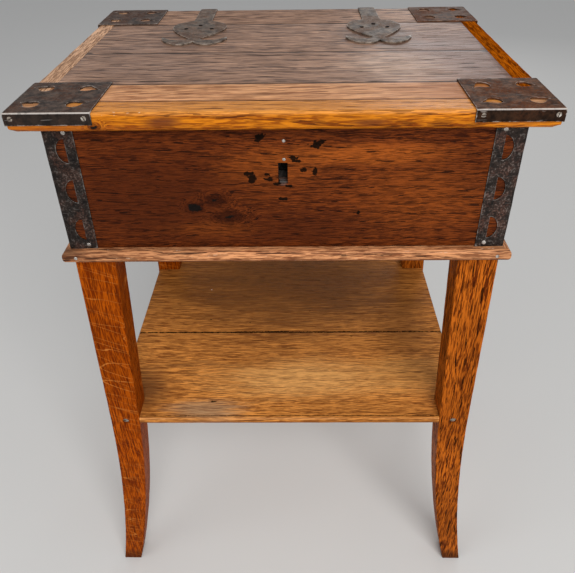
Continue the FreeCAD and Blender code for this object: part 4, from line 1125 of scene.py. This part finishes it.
leg_inner = sabre(LEG_TOP_INNER, LEG_KNEE_INNER, FOOT_INNER)
leg_outer = sabre(LEG_TOP_OUTER, LEG_KNEE_OUTER, FOOT_OUTER)
LEFT_OAK = dict(pale=(0.40, 0.075, 0.0015), deep=(0.14, 0.018, 0.0004), pore=(0.05, 0.006, 0.001))
RIGHT_OAK = dict(pale=(0.50, 0.12, 0.009), deep=(0.10, 0.016, 0.0015), pore=(0.012, 0.003, 0.001))
# the legs darker towards the bottom
darker_feet = [((0, 0, 0), (FAR, FAR, 26 * MM), (0.035, 0.012, 0.004), 0.75)]
leg_oak = {
    "left": oak("left_leg_oak", **LEFT_OAK, grain="z", seed=14.0, fleck=0.7, shine=0.02,
                pore_force=0.6, ring_pitch=4 * MM, worn=(0.6, 0.25, 0.08),
                stains_and_light=darker_feet),
    "right": oak("right_leg_oak", **RIGHT_OAK, grain="z", seed=15.0, shine=0.02, fine=900.0,
                 pore_force=0.95, ring_pitch=5 * MM, worn=(0.6, 0.25, 0.08),
                 stains_and_light=darker_feet, drops=0.12),
}
sinks = [(0.5 * (a.x + b.x), 0.5 * (a.z + b.z)) for a, b in islands("shelf_screws")]
SINK_RADIUS, SINK_DEPTH = 4.2 * MM, 3.6 * MM


def leg(side, end_name):
    """Sabre leg, thinner towards the foot, with a sink for its shelf screw."""
    label, sign, end, (_, _, tall), (_, outer_y, base) = corner_piece("leg", side, end_name)
    wide = LEG_TOP_OUTER - LEG_TOP_INNER

    def curve(point):
        share = point.x / wide
        height = point.z
        x = leg_inner(height) + share * (leg_outer(height) - leg_inner(height))
        taper = FOOT_DEPTH + (leg_depth - FOOT_DEPTH) * min(1.0, height / shelf_low.z)
        y = abs(point.y - outer_y) * taper / leg_depth
        return Vector((sign * x, outer_y - end * y, height))

    inner_y = outer_y - end * leg_depth
    start = Vector((0, min(outer_y, inner_y), base))
    finish = Vector((wide, max(outer_y, inner_y), base + tall))
    piece = board(label + "_wood", start, finish, "z", (1.1 * MM,) * 4, end_round=0.8 * MM,
                  step=8 * MM, wobble=0.0, worn=0.0, reshape=curve)
    wear(piece, seed=30.0 + sign + 2 * end)
    x, z = next((x, z) for x, z in sinks if x * sign > 0)
    drill = turned("drill", [(0, -SINK_DEPTH), (SINK_RADIUS, -SINK_DEPTH), (SINK_RADIUS, 0.01),
                             (0, 0.01)])
    aim = Vector((0, end, 0)).to_track_quat("Z", "Y").to_matrix().to_4x4()
    drill.data.transform(Matrix.Translation((x, outer_y, z)) @ aim)
    tidy_normals(drill)
    return dress(carve(piece, [drill]), leg_oak[side], TABLE, label)


def wear(piece, seed, deep=0.45 * MM, uneven=0.3 * MM):
    """Rub the arrises of a piece down here and there, along its own normals."""
    mesh = piece.data
    edge = mesh.attributes["edge"].data
    for vert, mark_at in zip(mesh.vertices, edge):
        push = deep * mark_at.value * max(0.0, smooth_noise(vert.co, RUB, seed) + 0.15)
        push += 0.5 * uneven * (1 - smooth_noise(vert.co, WAVE, seed + 1))
        vert.co -= vert.normal * push


for side, end_name in CORNERS:
    leg(side, end_name)


# ---- shelf

shelf_top, shelf_front, seam_y = shelf_high.z, shelf_low.y, shelf_high.y / MM
SHELF_OAK = dict(pale=(0.86, 0.33, 0.066), deep=(0.27, 0.078, 0.012), pore=(0.06, 0.015, 0.003))
# first entry: the front middle lighter, part wood colour, part painted light
shelf_stains_and_light = [((0.02, -0.105, shelf_top), (0.15, 0.045, 0.05), (0.95, 0.50, 0.16), 0.65),
                # dark patch by the left front leg: painted shadow of the leg
                ((-0.19, -0.13, shelf_top), (0.035, 0.05, 0.05), (0.10, 0.035, 0.012), 0.8),
                ((-0.11, -0.165, shelf_top), (0.06, 0.02, 0.05), (0.42, 0.28, 0.16), 0.7),
                ((0.17, 0.02, shelf_top), (0.05, 0.11, 0.05), (0.12, 0.05, 0.02), 0.45),
                # the back half darker: part wood colour, part painted shadow of the box above
                ((0.0, 0.12, shelf_top), (0.30, 0.19, 0.05), (0.15, 0.052, 0.010), 0.95),
                ((0.16, -0.10, shelf_top), (0.09, 0.04, 0.05), (0.72, 0.34, 0.09), 0.5),
                # painted highlight along the rounding of the front edge
                ((0, shelf_front, shelf_top), (FAR, 2.2 * MM, 3.2 * MM), (0.80, 0.36, 0.12), 0.8),
                # front face darker: painted shade
                ((0, shelf_front, shelf_top - 11 * MM), (FAR, 3 * MM, 6 * MM),
                 (0.22, 0.062, 0.012), 0.95)]
SHELF_CHIPS = [((x * MM, y * MM, shelf_top), mm(wide, deep, 20)) for x, y, wide, deep in (
    (0, seam_y, 330, 1.5), (0, shelf_front / MM + 4.4, 330, 0.55), (-45, seam_y + 1, 34, 1.2),
    (-20, seam_y + 2, 22, 0.9), (-97, -150, 3.5, 1.5), (30, 40, 1.5, 1), (-120, 20, 1.6, 1.2),
    (-60, 12, 1.6, 1), (90, -20, 1.4, 1))]
shelf_oak = oak("shelf_oak", **SHELF_OAK, seed=16.0, ring_pitch=8 * MM, pore_force=0.5,
                gloss=0.45, shine=0.06, stains_and_light=shelf_stains_and_light, chips=SHELF_CHIPS,
                worn=(0.62, 0.26, 0.07), drops=0.08, seam=0.2)
SHELF_ROUND = 3 * MM


def shelf_board(label, end):
    """Board with a rounded outer edge, notched round its two legs."""
    low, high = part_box(label)
    radii = [0.6 * MM] * 4
    for corner in ((1, 2) if end > 0 else (0, 3)):
        radii[corner] = SHELF_ROUND
    piece = board(label + "_wood", low, high, "x", radii, seed=35.0 + end, worn=0.4 * MM)
    cutters = []
    outer_y = low.y if end < 0 else high.y
    inner_y = outer_y - end * leg_depth
    for sign in SIDES.values():
        near, far = sorted((sign * LEG_KNEE_INNER, sign * 0.3))
        cutters.append(block("notch", (near, min(inner_y, outer_y + end * 0.01), low.z - 0.01),
                             (far, max(inner_y, outer_y + end * 0.01), high.z + 0.01)))
    return dress(carve(piece, cutters), shelf_oak, TABLE, label)


shelf_board("shelf_front_board", -1)
shelf_board("shelf_back_board", 1)


# ---- screws and nails

screw_steel = iron("screw_steel", (0.26, 0.22, 0.18), (0.14, 0.07, 0.04), (0.80, 0.77, 0.71),
                   speck=0.5, rough=0.4, seed=4.0)
nail_steel = iron("nail_steel", (0.45, 0.42, 0.38), (0.16, 0.08, 0.05), (0.85, 0.83, 0.80),
                  rust_force=0.3, speck=0.5, rough=0.3, metallic=0.85, seed=5.0)
BLACK_RUST = (0.05, 0.02, 0.012)
nail_black = iron("nail_black", (0.016, 0.012, 0.010), BLACK_RUST, (0.10, 0.08, 0.07),
                  rough=0.6, metallic=0.1, shine=0.1, seed=7.0)
# near-black iron of the lock case: dark old iron, and painted shade where it shows through the
# keyhole
lock_iron_and_shade = iron("lock_iron_and_shade", (0.020, 0.017, 0.015), BLACK_RUST, (0.16, 0.14, 0.13),
                 rough=0.6, metallic=0.1, shine=0.1, seed=8.0)
lock_steel = iron("lock_steel", (0.22, 0.21, 0.20), (0.12, 0.06, 0.035), (0.6, 0.58, 0.55),
                  rough=0.4, metallic=0.9, seed=6.0)


def fastener_spots(label, outward):
    """Head centre, outward direction and turn of each fastener in a CAD node.

    outward is a direction, or None where every fastener points away from the middle."""
    spots = []
    for number, (low, high) in enumerate(islands(label)):
        size = high - low
        axis = max(range(3), key=lambda i: size[i])
        centre = 0.5 * (low + high)
        direction = Vector((0, 0, 0))
        direction[axis] = outward or math.copysign(1, centre[axis])
        head = centre.copy()
        head[axis] = high[axis] if direction[axis] > 0 else low[axis]
        spots.append((head, direction, 0.4 + 1.7 * number))
    return spots


def slotted_screw(radius, length, shank, sunk):
    """Countersunk screw with its head's top just under the origin."""
    profile = [(0, -length), (0.6 * shank, shank - length), (shank, 2 * shank - length),
               (shank, -sunk), (radius * 0.97, -0.4 * MM), (radius, -0.22 * MM),
               (0.93 * radius, -0.08 * MM), (0.5 * radius, -0.02 * MM), (0, 0)]
    screw = tidy_normals(turned("screw", profile, 28))
    slot = block("slot", (-2 * radius, -0.4 * MM, -0.75 * MM), (2 * radius, 0.4 * MM, 1 * MM))
    return carve(screw, [slot])


def round_nail(radius, rise, length, shank):
    """Nail whose domed head reaches up to the origin."""
    profile = [(0, -length), (shank, shank - length), (shank, -rise), (0.92 * radius, -rise),
               (radius, -0.75 * rise), (0.93 * radius, -0.45 * rise), (0.7 * radius, -0.16 * rise),
               (0.38 * radius, -0.03 * rise), (0, 0)]
    return tidy_normals(turned("nail", profile, 24))


SCREWS = (               # millimetres: head radius, length, shank radius and countersink
    ("corner_plate_screws", (2.35, 12, 1.25, 1.5), screw_steel, LID, None),
    ("hinge_strap_screws", (3.2, 15, 1.4, 1.5), hinge_iron, LID, 1),
    ("hinge_leaf_screws", (3.2, 13, 1.4, 1.8), screw_steel, TABLE, 1),
    ("leg_screws", (4, 38, 2, 2.5), screw_steel, TABLE, 1),
    ("shelf_screws", (3.8, 50, 1.9, 2.2), screw_steel, TABLE, None),
    ("lock_case_screws", (2.6, 11, 1.2, 1.5), screw_steel, TABLE, 1),
    ("strike_plate_screws", (2.4, 11, 1.1, 1.4), screw_steel, LID, -1),
)
NAILS = (                # millimetres: head radius, head height, length and shank radius
    ("hinge_strap_nails", (2.6, 1, 15, 1), nail_black, LID, 1),
    ("corner_angle_nails", (2.2, 1, 13, 0.9), nail_steel, TABLE, None),
    ("keyhole_plate_nails", (1.6, 0.7, 9.7, 0.7), nail_steel, TABLE, None),
    ("moulding_nails", (1.8, 0.5, 30.5, 0.9), nail_steel, TABLE, None),
)
for pattern, rows in ((slotted_screw, SCREWS), (round_nail, NAILS)):
    for label, sizes, material, body, outward in rows:
        copies = join_copies(label + "_set", pattern(*[size * MM for size in sizes]),
                             fastener_spots(label, outward))
        dress(copies, material, body, label)

# pieces that keep their CAD mesh
CAD_SKIN = {"hinge_box_leaf_left": hinge_iron, "hinge_box_leaf_right": hinge_iron,
            "hinge_pin_left": hinge_iron, "hinge_pin_right": hinge_iron,
            "lock_case": lock_iron_and_shade, "lock_bolt": lock_steel, "lock_strike_plate": lock_steel}
for label, material in CAD_SKIN.items():
    for slot in bpy.data.objects[label].material_slots:
        slot.material = material


# ---- studio

FLOOR_COLOUR = (0.66, 0.65, 0.63, 1)
SKY_COLOUR, SKY_STRENGTH = (0.95, 0.97, 1.0, 1), 0.45
LAMPS = {"key": ((0.7, -2.5, 2.2), 1.8, 78),           # place, size, watts
         "fill": ((-2.2, -1.6, 1.6), 1.8, 12),
         "back": ((0.78, 2.6, 1.5), 0.8, 6)}
LAMP_AIM = Vector((0, -0.05, 0.5))
CAMERA_PLACE = (0.0124, -0.7136, 0.8996)
LOOK_DOWN, TURN, ROLL = 0.6209, 0.0178, -0.0151
FOCAL, SHIFT = 38.72, -0.0027


def studio():
    """Pale floor, soft lamps and the photo's camera."""
    scene = bpy.context.scene
    floor = make_object("floor", [(-6, -6, 0), (6, -6, 0), (6, 8, 0), (-6, 8, 0)], [(0, 1, 2, 3)])
    paint = Paint("pale_floor")
    shader = paint.node("BsdfPrincipled",
                        {"Base Color": FLOOR_COLOUR, "Roughness": 0.85})
    paint.node("OutputMaterial", {"Surface": shader.outputs[0]})
    floor.data.materials.append(paint.material)

    scene.world = bpy.data.worlds.new("soft_room")
    scene.world.use_nodes = True
    sky = scene.world.node_tree.nodes["Background"].inputs
    sky["Color"].default_value = SKY_COLOUR
    sky["Strength"].default_value = SKY_STRENGTH
    for name, (place, size, power) in LAMPS.items():
        lamp = bpy.data.lights.new(name, "AREA")
        lamp.size = size
        lamp.energy = power
        holder = add_to_scene(name, lamp)
        holder.location = place
        holder.rotation_euler = (LAMP_AIM - Vector(place)).to_track_quat("-Z", "Y").to_euler()

    lens = bpy.data.cameras.new("camera")
    lens.sensor_width = 36
    lens.lens = FOCAL
    lens.shift_x = SHIFT
    scene.camera = add_to_scene("camera", lens)
    scene.camera.matrix_world = (Matrix.Translation(CAMERA_PLACE)
                                 @ Matrix.Rotation(TURN, 4, "Z")
                                 @ Matrix.Rotation(math.pi / 2 - LOOK_DOWN, 4, "X")
                                 @ Matrix.Rotation(ROLL, 4, "Z"))
    scene.view_settings.view_transform = "Standard"


studio()
